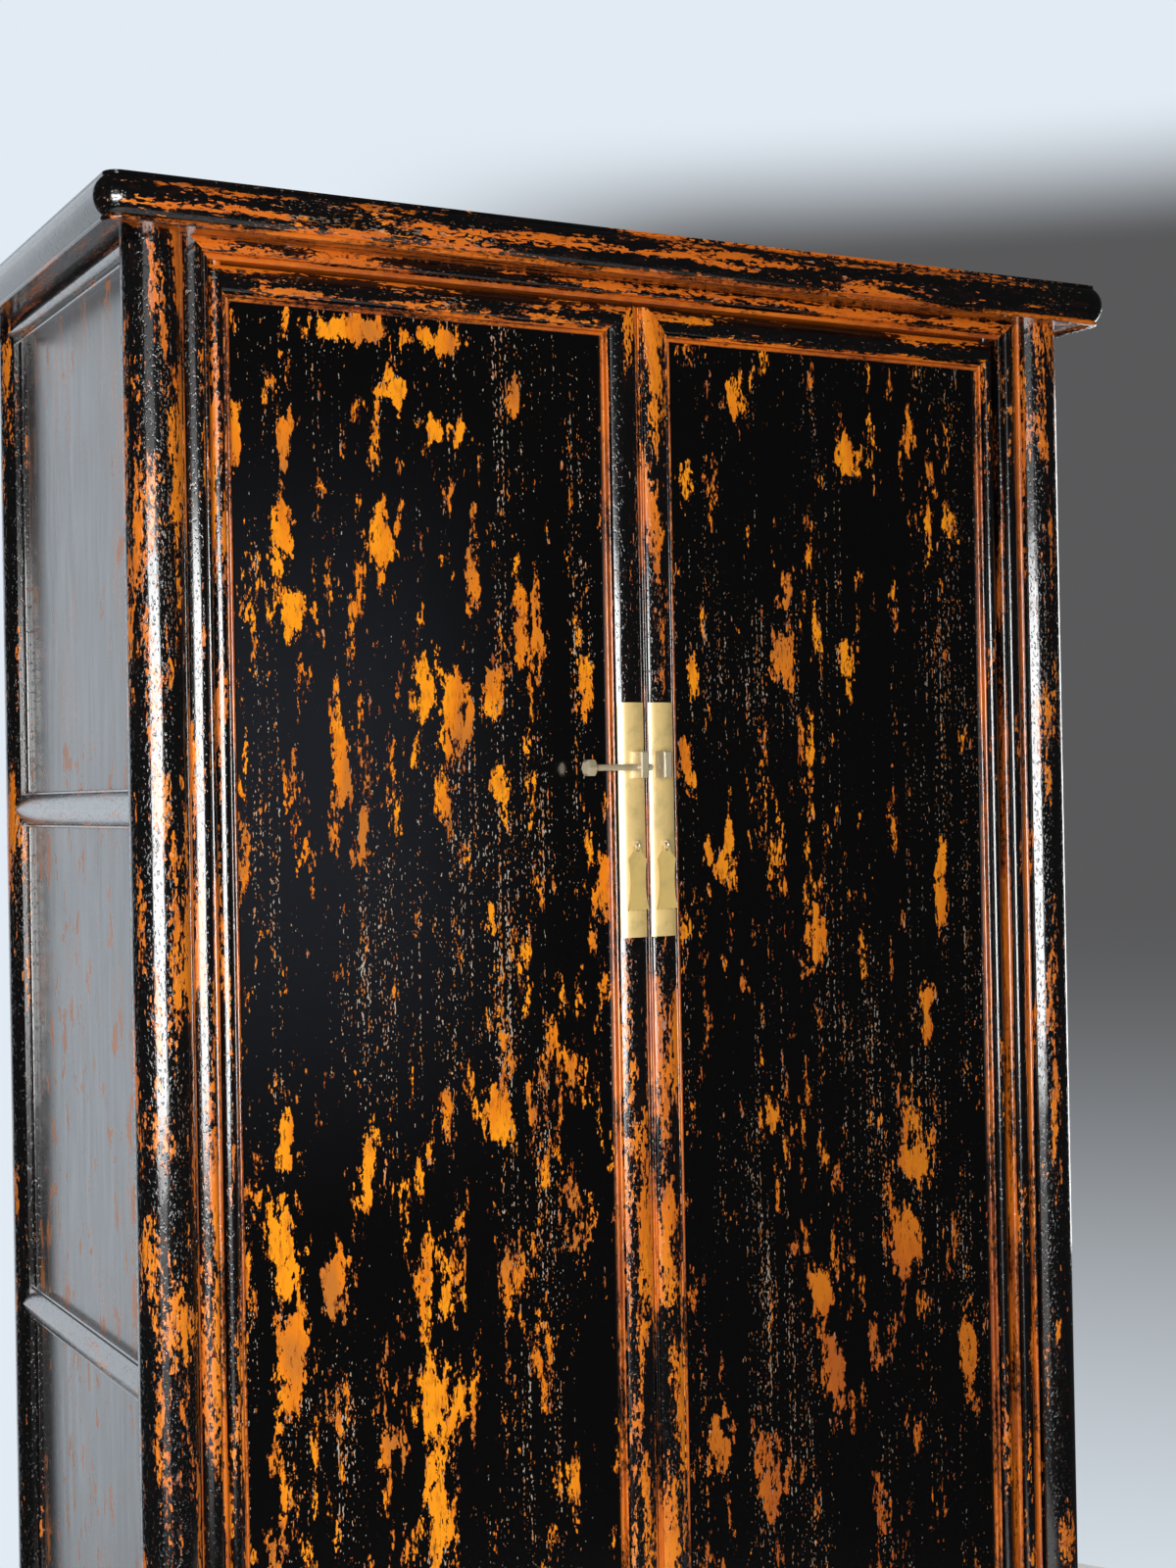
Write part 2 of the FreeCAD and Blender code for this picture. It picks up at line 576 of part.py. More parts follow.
def pivot_stile_outline():
    """Outer stile, a from its edge and b in from the front."""
    face = PIVOT_STILE_WIDTH - BEAD_BAND
    return (
        [(PIVOT_STILE_WIDTH, DOOR_THICKNESS)]
        + pivot_corner()
        + [(round_middle(PIVOT_EDGE, face, FRAME_DROP), (face, FRAME_DROP))]
        + panel_beads(face)
    )


def meeting_stile_outline():
    """Meeting stile: fine beads at the edge, then the round that the brass plate wraps."""
    edge = []
    for index in range(EDGE_BEADS):
        near = index * EDGE_BEAD_WIDTH
        edge += bead(near, near + EDGE_BEAD_WIDTH, crown_depth(near) + EDGE_BEAD_STEP, EDGE_BEAD_RISE)
    start = EDGE_BEADS * EDGE_BEAD_WIDTH
    return (
        [(MEETING_STILE_WIDTH, DOOR_THICKNESS), (0, DOOR_THICKNESS)]
        + edge
        + [(start, crown_depth(start)), ((CROWN_CHORD / 2, 0), (CROWN_CHORD, FRAME_DROP))]
        + panel_beads(CROWN_CHORD)
    )


def door_rail_outline():
    """Top or bottom rail of a door, a from its outer edge."""
    face = DOOR_RAIL_WIDTH - BEAD_BAND
    return (
        [(0, FRAME_DROP), ((face / 2, 0), (face, FRAME_DROP))]
        + panel_beads(face)
        + [(DOOR_RAIL_WIDTH, DOOR_THICKNESS), (0, DOOR_THICKNESS)]
    )


def door(parts):
    """Left and right doors: mitred frame, floating panel, battens and turned pivots."""
    wedges = {}
    for end, level, up in (("top", DOOR_PANEL_TOP, 1), ("bottom", DOOR_PANEL_BOTTOM, -1)):
        depth = (DOOR_FRONT - 1, DOOR_FRONT + MITRE_DEPTH)
        outer = corner_wedge(DOOR_PANEL_LEFT, level, -1, up, *depth)
        inner = corner_wedge(DOOR_PANEL_RIGHT, level, 1, up, *depth)
        wedges[end] = (outer, inner)
    back = DOOR_FRONT + DOOR_PANEL_SETBACK + DOOR_PANEL_THICKNESS
    slot = box(
        (DOOR_PANEL_LEFT - DOOR_GROOVE_DEPTH, DOOR_FRONT + DOOR_PANEL_SETBACK - GROOVE_CLEARANCE,
         DOOR_PANEL_BOTTOM - DOOR_GROOVE_DEPTH),
        (DOOR_PANEL_RIGHT + DOOR_GROOVE_DEPTH, back + GROOVE_CLEARANCE, DOOR_PANEL_TOP + DOOR_GROOVE_DEPTH),
    )
    span = Z * (DOOR_TOP - DOOR_BOTTOM)
    pivot_stile = prism(pivot_stile_outline(), V(-DOOR_OUTER, DOOR_FRONT, DOOR_BOTTOM), X, Y, span)
    meeting_stile = prism(meeting_stile_outline(), V(-DOOR_EDGE, DOOR_FRONT, DOOR_BOTTOM), -X, Y, span)
    pivot_stile = pivot_stile.cut([wedges["top"][0], wedges["bottom"][0], slot])
    meeting_stile = meeting_stile.cut([wedges["top"][1], wedges["bottom"][1], slot])
    # each pivot runs on through the rail, which is bored for it
    pivots = []
    length = DOOR_RAIL_WIDTH + PIVOT_LENGTH
    for low in (DOOR_PANEL_TOP, DOOR_BOTTOM - PIVOT_LENGTH):
        pivots.append(Part.makeCylinder(PIVOT_RADIUS, length, V(-PIVOT_X, PIVOT_Y, low), Z))
    pieces = {
        "pivot_stile": pivot_stile.fuse(pivots),
        "meeting_stile": meeting_stile,
    }

    width = DOOR_OUTER - DOOR_EDGE
    plan = [(width, DOOR_THICKNESS)] + pivot_corner() + [(width, 0)]
    envelope = prism(plan, V(-DOOR_OUTER, DOOR_FRONT, DOOR_BOTTOM), X, Y, span)
    outline = door_rail_outline()
    for end, level, down in (("top", DOOR_TOP, -Z), ("bottom", DOOR_BOTTOM, Z)):
        middle = box(
            (DOOR_PANEL_LEFT, DOOR_FRONT - 1, min(level, level + down.z * DOOR_RAIL_WIDTH)),
            (DOOR_PANEL_RIGHT, DOOR_BACK, max(level, level + down.z * DOOR_RAIL_WIDTH)),
        )
        reach = middle.fuse(list(wedges[end])).common(envelope)
        rail = prism(outline, V(-DOOR_OUTER, DOOR_FRONT, level), down, Y, X * width)
        pieces["%s_rail" % end] = rail.common(reach).cut([slot] + pivots).removeSplitter()

    bounds = slot.BoundBox
    pieces["panel"] = box(
        (bounds.XMin + PANEL_FLOAT, bounds.YMin + GROOVE_CLEARANCE, bounds.ZMin),
        (bounds.XMax - PANEL_FLOAT, bounds.YMax - GROOVE_CLEARANCE, bounds.ZMax - PANEL_FLOAT),
    )
    battens = []
    field = DOOR_PANEL_TOP - DOOR_PANEL_BOTTOM
    for index in range(BATTENS):
        middle_z = DOOR_PANEL_BOTTOM + field * (index + 0.5) / BATTENS
        battens.append(box(
            (DOOR_PANEL_LEFT + BATTEN_END_GAP, back, middle_z - BATTEN_HEIGHT / 2),
            (DOOR_PANEL_RIGHT - BATTEN_END_GAP, DOOR_BACK - BATTEN_RECESS, middle_z + BATTEN_HEIGHT / 2),
        ))
    pieces["battens"] = Part.makeCompound(battens)
    for name, shape in pieces.items():
        parts["left_door_" + name] = shape
        parts["right_door_" + name] = mirror_x(shape)


def crown_cylinder(radius, low, high):
    """Round about the same axis as the meeting stile's face."""
    return Part.makeCylinder(radius, high - low, V(CROWN_X, CROWN_Y, low), Z)


def plate_and_lug(parts):
    """Brass plates wrapped on the meeting stiles, and the lugs that the lock pin passes through."""
    low = PLATE_TOP - PLATE_LENGTH
    outer = CROWN_RADIUS + PLATE_THICKNESS
    window = box(
        (-DOOR_EDGE - CROWN_CHORD, PLATE_FRONT, low),
        (-DOOR_EDGE - PLATE_EDGE, DOOR_FRONT + FRAME_DROP, PLATE_TOP),
    )
    sheet = crown_cylinder(outer, low, PLATE_TOP).cut(crown_cylinder(CROWN_RADIUS, low, PLATE_TOP))
    plate = sheet.common(window)

    middle = PLATE_TOP - LUG_DROP
    half = LUG_HEIGHT / 2
    right = -DOOR_EDGE - LUG_EDGE
    lug = box((right - LUG_WIDTH, PLATE_FRONT - LUG_REACH, middle - half), (right, CROWN_Y, middle + half))
    front_edges = [edge for edge in lug.Edges if edge.BoundBox.YMax < PLATE_FRONT]
    lug = lug.makeChamfer(LUG_CHAMFER, front_edges)
    bore_start = V(right - 1.5 * LUG_WIDTH, PIN_Y, PIN_Z)
    bore = Part.makeCylinder(PIN_RADIUS + PIN_CLEARANCE, 2 * LUG_WIDTH, bore_start, X)
    lug = lug.cut([crown_cylinder(outer, middle - half, middle + half), bore])
    for name, shape in (("lock_plate", plate), ("lock_lug", lug)):
        parts["left_" + name] = shape
        parts["right_" + name] = mirror_x(shape)


def lock_pin(parts):
    """Pin with a faceted hexagonal head, drawn back so that its tip is clear of the right-hand door."""
    lug_face = -DOOR_EDGE - LUG_EDGE - LUG_WIDTH
    head_right = lug_face - PIN_HEAD_GAP - PIN_TRAVEL
    head_left = head_right - PIN_HEAD_LENGTH
    tip = PIN_TIP_REACH - PIN_TRAVEL
    corner = PIN_HEAD_ACROSS / math.sqrt(3)
    outline = [
        (corner * math.cos(math.radians(60 * k)), corner * math.sin(math.radians(60 * k)))
        for k in range(6)
    ]
    head = prism(outline, V(head_left, PIN_Y, PIN_Z), Y, Z, X * PIN_HEAD_LENGTH)
    rims = [edge for edge in head.Edges if edge.BoundBox.XLength < PIN_HEAD_LENGTH / 2]
    head = head.makeChamfer(PIN_HEAD_CHAMFER, rims)
    shaft = Part.makeCylinder(PIN_RADIUS, tip - head_right, V(head_right, PIN_Y, PIN_Z), X)
    tip_edge = [edge for edge in shaft.Edges if edge.BoundBox.XMin > tip - PIN_TIP_CHAMFER]
    shaft = shaft.makeChamfer(PIN_TIP_CHAMFER, tip_edge)
    parts["lock_pin"] = head.fuse(shaft)


def pendant_outline():
    """Waisted plate, a across and b up from the middle of the eye."""
    foot = -PENDANT_LENGTH
    neck_drop = (PENDANT_TOP_GAP + PENDANT_SHOULDER_DROP) * 0.45
    right = [
        (PENDANT_TOP_HALF, -PENDANT_TOP_GAP),
        (PENDANT_TOP_HALF, -neck_drop),
        ((PENDANT_SHOULDER_HALF * 0.78, -0.78 * PENDANT_SHOULDER_DROP),
         (PENDANT_SHOULDER_HALF, -PENDANT_SHOULDER_DROP)),
        ((PENDANT_WAIST_HALF, -PENDANT_WAIST_DROP), (PENDANT_FOOT_HALF, foot)),
    ]
    pitch = 2 * PENDANT_FOOT_HALF / PENDANT_SCALLOPS
    scallops = []
    for index in range(PENDANT_SCALLOPS):
        start = PENDANT_FOOT_HALF - index * pitch
        scallops.append(((start - pitch / 2, foot + PENDANT_SCALLOP_RISE), (start - pitch, foot)))
    left = [
        ((-PENDANT_WAIST_HALF, -PENDANT_WAIST_DROP), (-PENDANT_SHOULDER_HALF, -PENDANT_SHOULDER_DROP)),
        ((-PENDANT_SHOULDER_HALF * 0.78, -0.78 * PENDANT_SHOULDER_DROP), (-PENDANT_TOP_HALF, -neck_drop)),
        (-PENDANT_TOP_HALF, -PENDANT_TOP_GAP),
    ]
    return right + scallops + left


def pendants(parts):
    """Pendant pulls that hang on wire eyes standing out of the plates."""
    centre = V(EYE_X, EYE_Y, EYE_Z)
    ring = Part.makeTorus(EYE_RADIUS, EYE_WIRE_RADIUS, centre, X)
    shank = Part.makeCylinder(EYE_SHANK_RADIUS, EYE_WIRE_RADIUS * 2, centre + Y * EYE_RADIUS, Y)
    round_low = EYE_Z - 2 * EYE_RADIUS
    round_high = EYE_Z + 2 * EYE_RADIUS
    plate_round = crown_cylinder(CROWN_RADIUS + PLATE_THICKNESS, round_low, round_high)
    eye = ring.fuse(shank).cut(plate_round)

    back = V(EYE_X, EYE_Y - PENDANT_THICKNESS / 2, EYE_Z)
    blank = prism(pendant_outline(), back, X, Z, Y * PENDANT_THICKNESS)
    inner_edge = EYE_RADIUS - EYE_WIRE_RADIUS - PENDANT_CLEARANCE
    hole_centre = back - Z * (inner_edge + PENDANT_HOLE_RADIUS)
    hole = Part.makeCylinder(PENDANT_HOLE_RADIUS, PENDANT_THICKNESS, hole_centre, Y)
    pendant = blank.cut(hole)
    for name, shape in (("pendant_eye", eye), ("pendant", pendant)):
        parts["left_" + name] = shape
        parts["right_" + name] = mirror_x(shape)


def build():
    """Every piece of the cabinet, by name."""
    parts = {}
    for group in (carcass, surround, cap, shelves, aprons, door, plate_and_lug, lock_pin, pendants):
        group(parts)
    return parts


os.makedirs("parts", exist_ok=True)
for node, solid in build().items():
    solid.exportStep("parts/%s.step" % node)
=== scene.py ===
import math

import bmesh
import bpy
from bpy.props import FloatProperty, FloatVectorProperty, PointerProperty
from mathutils import Matrix, Vector


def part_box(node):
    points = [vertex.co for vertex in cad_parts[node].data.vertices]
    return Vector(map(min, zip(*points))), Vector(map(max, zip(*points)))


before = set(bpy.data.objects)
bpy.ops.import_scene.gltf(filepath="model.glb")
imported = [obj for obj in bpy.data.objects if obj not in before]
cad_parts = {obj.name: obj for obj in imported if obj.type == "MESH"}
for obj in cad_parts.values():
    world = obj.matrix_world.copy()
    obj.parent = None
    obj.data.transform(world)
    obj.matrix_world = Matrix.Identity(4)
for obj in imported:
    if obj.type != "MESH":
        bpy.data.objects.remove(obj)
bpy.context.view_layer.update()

bl_info = {
    "name": "Worn lacquer cabinet",
    "version": (1, 0, 0),
    "blender": (4, 5, 0),
    "location": "3D View > Sidebar > Cabinet",
    "description": "Finishes a two-door cabinet in worn black lacquer and sets up its studio",
    "category": "Object",
}

MM = 0.001
SIDES = ("left", "right")
BAYS = ("upper", "middle", "lower")

# Levels and edges read from the frame, in metres
POST_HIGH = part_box("front_left_post")[1]
JAMB_LOW, JAMB_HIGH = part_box("left_jamb")
PANEL_LOW, PANEL_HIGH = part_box("left_door_panel")
PIVOT_STILE_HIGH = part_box("left_door_pivot_stile")[1]
MEETING_STILE_LOW, MEETING_STILE_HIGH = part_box("left_door_meeting_stile")
TOP_RAIL_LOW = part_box("left_door_top_rail")[0]
BOTTOM_RAIL_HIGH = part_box("left_door_bottom_rail")[1]
LINTEL_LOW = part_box("lintel")[0]
SILL_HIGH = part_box("sill")[1]
CAP_LOW, CAP_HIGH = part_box("cap_front_rail")
SIDE_PANEL_LOW, SIDE_PANEL_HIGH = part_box("right_upper_panel")
BACK_PANEL_LOW, BACK_PANEL_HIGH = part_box("back_panel")

# Usual width and length of a flake on each kind of piece, in metres
POST_FLAKE = (0.0095, 0.065)
JAMB_FLAKE = (0.008, 0.070)
LINTEL_FLAKE = (0.008, 0.080)
CAP_FLAKE = (0.0065, 0.075)
PIVOT_STILE_FLAKE = (0.010, 0.080)
MEETING_STILE_FLAKE = (0.011, 0.070)
DOOR_RAIL_FLAKE = (0.008, 0.070)
SIDE_RAIL_FLAKE = (0.006, 0.050)
APRON_FLAKE = (0.010, 0.070)

# Usual width and length of the smaller marks in the lacquer, in metres
GNAWED_EDGE = (0.0062, 0.0130)
RAGGED_EDGE = (0.0018, 0.0038)
CRACK_CELL = (0.0024, 0.0055)
RUN = (0.013, 0.20)
CHIP = (0.0026, 0.0105)
# Pore rows, pores and haze lay out the pale speckle of the fine crackle, which is painted glints
PORE_ROW = (0.0016, 0.30)
PORE = (0.0009, 0.0024)
HAZE = (0.060, 0.20)
LEFTOVER = (0.0014, 0.0075)
BLOTCH = (0.030, 0.090)
DUST = (0.0040, 0.012)
PIT = (0.0012, 0.0026)
SWELL = (0.012, 0.040)

# Levels of noise between which each mark sets in
SCAR_STEP = (1.50, 0.40)
FLAKE_STEP = (0.640, 0.648)
RIM_STEP = (0.618, 0.630)
CHIP_STEP = (0.702, 0.712)
# Painted glints: level at which the pale speckle of the fine crackle shows
GLINT_SPECK_STEP = (0.750, 0.785)
LEFTOVER_STEP = (0.60, 0.66)
RUBBED_STEP = (0.42, 0.60)
PIT_STEP = (0.56, 0.72)

# Bands along edges and faces that take other wear or another coat, in metres
POST_BEAD = 2.4 * MM
JAMB_BEAD = 4.2 * MM
JAMB_SLOPE = 9 * MM
LINTEL_BEAD = 4 * MM
CAP_LIP = 5 * MM
MEETING_EDGE = 3.6 * MM
PANEL_BACK = 3 * MM
PANEL_FOOT = 55 * MM

# Soft lights: name, place, target, width and height in metres, and radiance
LIGHTS = (
    ("window_left", (-1.75, -2.45, 1.2), (-0.2, -0.24, 1.2), (1.45, 1.25), 11.5),
    ("bounce_left", (-1.85, -2.60, 1.2), (-0.2, -0.24, 1.2), (1.45, 2.8), 0.9),
    ("window_front", (-1.05, -3.15, 1.2), (-0.1, -0.24, 1.2), (0.60, 1.15), 13.0),
    ("window_back", (2.4, 1.2, 1.2), (0.3, 0.0, 1.1), (0.9, 1.8), 5.0),
)

# Main scars of each door panel: middle across, height, half width and half length, in millimetres
SCARS = {
    "left": (
        (-295, 1698, 58, 11), (-205, 1695, 22, 12), (-400, 1595, 5, 40), (-250, 1648, 14, 12),
        (-195, 1613, 22, 12), (-128, 1650, 8, 20), (-355, 1600, 7, 22), (-356, 1517, 11, 26),
        (-261, 1512, 13, 34), (-173, 1488, 8, 44), (-349, 1444, 9, 20), (-124, 1436, 7, 46),
        (-110, 1446, 6, 36), (-61, 1388, 10, 40), (-222, 1380, 13, 27), (-198, 1356, 11, 42),
        (-180, 1362, 5, 28), (-160, 1374, 9, 22), (-303, 1297, 9, 30), (-148, 1290, 14, 20),
        (-289, 1236, 10, 32), (-45, 1190, 9, 28), (-165, 1165, 10, 14), (-162, 990, 15, 26),
        (-289, 950, 10, 30), (-366, 980, 8, 24), (-366, 895, 14, 46), (-74, 882, 11, 36),
        (-318, 845, 14, 30), (-361, 793, 16, 46), (-221, 735, 22, 34), (-225, 640, 18, 44),
    ),
    "right": (
        (111, 1668, 9, 22), (247, 1611, 18, 22), (54, 1571, 8, 26), (166, 1484, 11, 24),
        (160, 1403, 14, 24), (238, 1404, 9, 32), (61, 1383, 7, 26), (53, 1307, 10, 34),
        (72, 1224, 6, 16), (86, 1204, 8, 13), (95, 1230, 5, 18), (197, 1130, 12, 28),
        (250, 1113, 12, 25), (352, 1180, 10, 44), (330, 1060, 8, 40), (135, 961, 12, 26),
        (318, 905, 22, 30), (297, 823, 17, 32), (195, 781, 17, 20), (211, 701, 13, 26),
        (375, 700, 11, 48), (131, 616, 14, 46), (72, 644, 10, 30),
    ),
}


def colour_property(name, description, default):
    """Linear colour that a user may change."""
    return FloatVectorProperty(
        name=name, description=description, subtype="COLOR", default=default, min=0, max=1,
    )


def length_property(name, description, default):
    """Length in metres that a user may change."""
    return FloatProperty(name=name, description=description, default=default, min=0, unit="LENGTH")


def angle_property(name, description, degrees):
    """Angle that a user may change."""
    return FloatProperty(
        name=name, description=description, default=math.radians(degrees), subtype="ANGLE", unit="ROTATION",
    )


class LacquerSettings(bpy.types.PropertyGroup):
    """Colours and flakes of the lacquer"""

    black: colour_property("Black", "Top coat", (0.0022, 0.0021, 0.0022))
    maroon: colour_property("Maroon", "Thin top coat", (0.012, 0.004, 0.003))
    amber: colour_property("Amber", "Brightest undercoat", (0.90, 0.305, 0.010))
    orange: colour_property("Orange", "Undercoat where the top coat has flaked off", (0.75, 0.205, 0.010))
    russet: colour_property("Russet", "Redder undercoat of the frame", (0.64, 0.145, 0.010))
    # Tan and the pale ground also colour the speckle of the fine crackle, which is painted glints
    tan: colour_property("Tan", "Dull undercoat of some flakes", (0.52, 0.165, 0.024))
    rust: colour_property("Rust", "Undercoat rubbed thin", (0.36, 0.075, 0.013))
    cream_and_glint: colour_property("Cream", "Pale ground in specks and some chips", (0.48, 0.40, 0.32))
    satin: colour_property("Satin", "Dull top coat of the wall panels", (0.055, 0.055, 0.058))
    # Painted sheen: the side rails' top coat is painted paler than the wall panels' to stand in for their
    # reflection
    sheen_satin: colour_property("Worn satin", "Paler top coat of the side rails", (0.115, 0.118, 0.124))
    # Painted sheen: a grey-blue veil on the left door's panel that stands in for a reflection
    painted_sheen: colour_property("Film", "Dull film on part of the left door", (0.011, 0.012, 0.015))
    stain: colour_property("Stain", "Thin coat on the inside of walls and doors", (0.060, 0.028, 0.014))
    flake_width: length_property("Flake width", "Usual width of a flake on the door panels", 0.0085)
    flake_length: length_property("Flake length", "Usual length of a flake on the door panels", 0.033)
    bead_band: length_property("Bead band", "Width of the worn beads beside the door panels", 0.0056)


class TimberSettings(bpy.types.PropertyGroup):
    """Bare timber inside"""

    pale: colour_property("Pale", "Early wood", (0.36, 0.22, 0.115))
    dark: colour_property("Dark", "Late wood", (0.20, 0.105, 0.05))


class BrassSettings(bpy.types.PropertyGroup):
    """Brass lock fittings"""

    bright: colour_property("Bright", "Rubbed brass of the plates", (0.81, 0.585, 0.235))
    deep: colour_property("Deep", "Yellower brass of the pendants", (0.70, 0.50, 0.17))
    handled: colour_property("Handled", "Brass of lugs, pin and eyes", (0.66, 0.57, 0.40))
    dull: colour_property("Dull", "Tarnish", (0.46, 0.36, 0.14))


class StageSettings(bpy.types.PropertyGroup):
    """Camera, floor and surroundings"""

    camera_place: FloatVectorProperty(
        name="Camera place", description="Where the camera stands", default=(-1.0462, -2.0521, 1.2799),
        subtype="XYZ", unit="LENGTH",
    )
    camera_turn: angle_property("Camera turn", "Aim right of straight ahead", 28.444)
    camera_tilt: angle_property("Camera tilt", "Aim above level", 0.327)
    camera_roll: angle_property("Camera roll", "Roll about the line of sight", -1.038)
    camera_lens: FloatProperty(
        name="Camera lens", description="Focal length over a picture 36 mm high", default=51.14, min=1,
        unit="CAMERA",
    )
    camera_shift: FloatVectorProperty(
        name="Camera shift", description="Picture moved across and up, as a share of its height",
        default=(-0.0070, -0.0016), size=2,
    )
    floor_radius: length_property("Floor radius", "Round floor under the cabinet", 1.6)
    floor: colour_property("Floor", "Floor paint", (0.80, 0.80, 0.79))
    pale_side: colour_property("Pale side", "Surroundings behind", (0.76, 0.83, 0.90))
    # Shaded side also colours the painted shadow of the cabinet on the backdrop that the camera sees
    shaded_side: colour_property("Shaded side", "Surroundings behind and to the right", (0.10, 0.10, 0.103))
    dark_side: colour_property("Dark side", "Surroundings everywhere else", (0.030, 0.031, 0.033))


class Value:
    """A shader socket that takes part in Python arithmetic; each operation adds one Math node."""

    def __init__(self, paint, socket):
        self.paint = paint
        self.socket = socket

    def math(self, operation, *operands):
        """One Math node on the given operands."""
        return self.paint.node("ShaderNodeMath", {"operation": operation}, dict(enumerate(operands)))

    def __add__(self, other):
        return self.math("ADD", self, other)

    def __radd__(self, other):
        return self.math("ADD", other, self)

    def __sub__(self, other):
        return self.math("SUBTRACT", self, other)

    def __rsub__(self, other):
        return self.math("SUBTRACT", other, self)

    def __mul__(self, other):
        return self.math("MULTIPLY", self, other)

    def __rmul__(self, other):
        return self.math("MULTIPLY", other, self)

    def __abs__(self):
        return self.math("ABSOLUTE", self)

    def fraction(self):
        """What is left above the whole number."""
        return self.math("FRACT", self)

    def at_least(self, other):
        """The larger of two values."""
        return self.math("MAXIMUM", self, other)

    def at_most(self, other):
        """The smaller of two values."""
        return self.math("MINIMUM", self, other)

    def sway(self, amount):
        """Noise about 0.5 as a push about 0, of an amount from end to end."""
        return (self - 0.5) * amount

    def ease(self, low, high):
        """0 at low, 1 at high and a smooth step between; low may be the larger one."""
        inputs = {0: self, 1: low, 2: high, 3: 0.0, 4: 1.0}
        return self.paint.node("ShaderNodeMapRange", {"interpolation_type": "SMOOTHSTEP"}, inputs)


class Paint:
    """Node tree of one finish, written as expressions on the place in the cabinet."""

    def __init__(self, owner):
        owner.use_nodes = True
        self.tree = owner.node_tree
        self.tree.nodes.clear()

    def node(self, kind, settings=None, inputs=None, output=0):
        """Adds a node of a kind: settings first, then the values or links of its sockets."""
        made = self.tree.nodes.new(kind)
        for name, setting in (settings or {}).items():
            setattr(made, name, setting)
        for key, given in (inputs or {}).items():
            socket = made.inputs[key]
            if isinstance(given, Value):
                self.tree.links.new(given.socket, socket)
            else:
                socket.default_value = given
        return Value(self, made.outputs[output]) if made.outputs else None

    def place(self):
        """Place in the cabinet, in metres."""
        return self.node("ShaderNodeTexCoord", output="Object")

    def axes(self, vector):
        """The three parts of a vector."""
        return [self.node("ShaderNodeSeparateXYZ", None, {0: vector}, index) for index in range(3)]

    def vector(self, operation, *operands, output="Vector"):
        """One Vector Math node on the given operands."""
        inputs = dict(enumerate(operands))
        return self.node("ShaderNodeVectorMath", {"operation": operation}, inputs, output)

    def drawn_out(self, vector, grain, stretch):
        """Vector for a pattern that is drawn out so many times along one axis."""
        factors = tuple(1 / stretch if axis == grain else 1.0 for axis in "XYZ")
        return self.vector("MULTIPLY", vector, factors)

    def noise(self, vector, scale, detail, roughness, distortion=0.0):
        """Cloud noise about 0.5."""
        inputs = {
            "Vector": vector,
            "Scale": scale,
            "Detail": detail,
            "Roughness": roughness,
            "Distortion": distortion,
        }
        return self.node("ShaderNodeTexNoise", None, inputs)

    def cells(self, vector, scale):
        """One random number for each small cell."""
        inputs = {"Vector": vector, "Scale": scale}
        colour = self.node("ShaderNodeTexVoronoi", {"distance": "CHEBYCHEV"}, inputs, "Color")
        return self.node("ShaderNodeSeparateColor", None, {0: colour})

    def mix(self, factor, first, second):
        """Colour from first, at factor 0, to second, at factor 1."""
        inputs = {0: factor, 6: solid(first), 7: solid(second)}
        return self.node("ShaderNodeMix", {"data_type": "RGBA"}, inputs, 2)

    def bump(self, height, distance, strength=1.0):
        """Normal from a height."""
        inputs = {"Height": height, "Distance": distance, "Strength": strength}
        return self.node("ShaderNodeBump", None, inputs)

    def surface(self, inputs):
        """Principled surface with the given sockets."""
        shader = self.node("ShaderNodeBsdfPrincipled", None, inputs)
        self.node("ShaderNodeOutputMaterial", None, {"Surface": shader})


def solid(colour):
    """Colour as a socket takes it."""
    if isinstance(colour, Value):
        return colour
    return (*colour, 1.0)


def new_finish(name):
    """Empty material and its paint."""
    material = bpy.data.materials.new(name)
    return material, Paint(material)


def dress(material, names):
    """Gives the material to CAD nodes."""
    for name in names:
        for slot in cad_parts[name].material_slots:
            slot.material = material


def near(value, edge, width, sign=1):
    """1 within a band that starts at an edge and runs the way of sign, soft at its end."""
    offset = (value - edge) * sign
    return offset.ease(width * 1.15, width * 0.85)


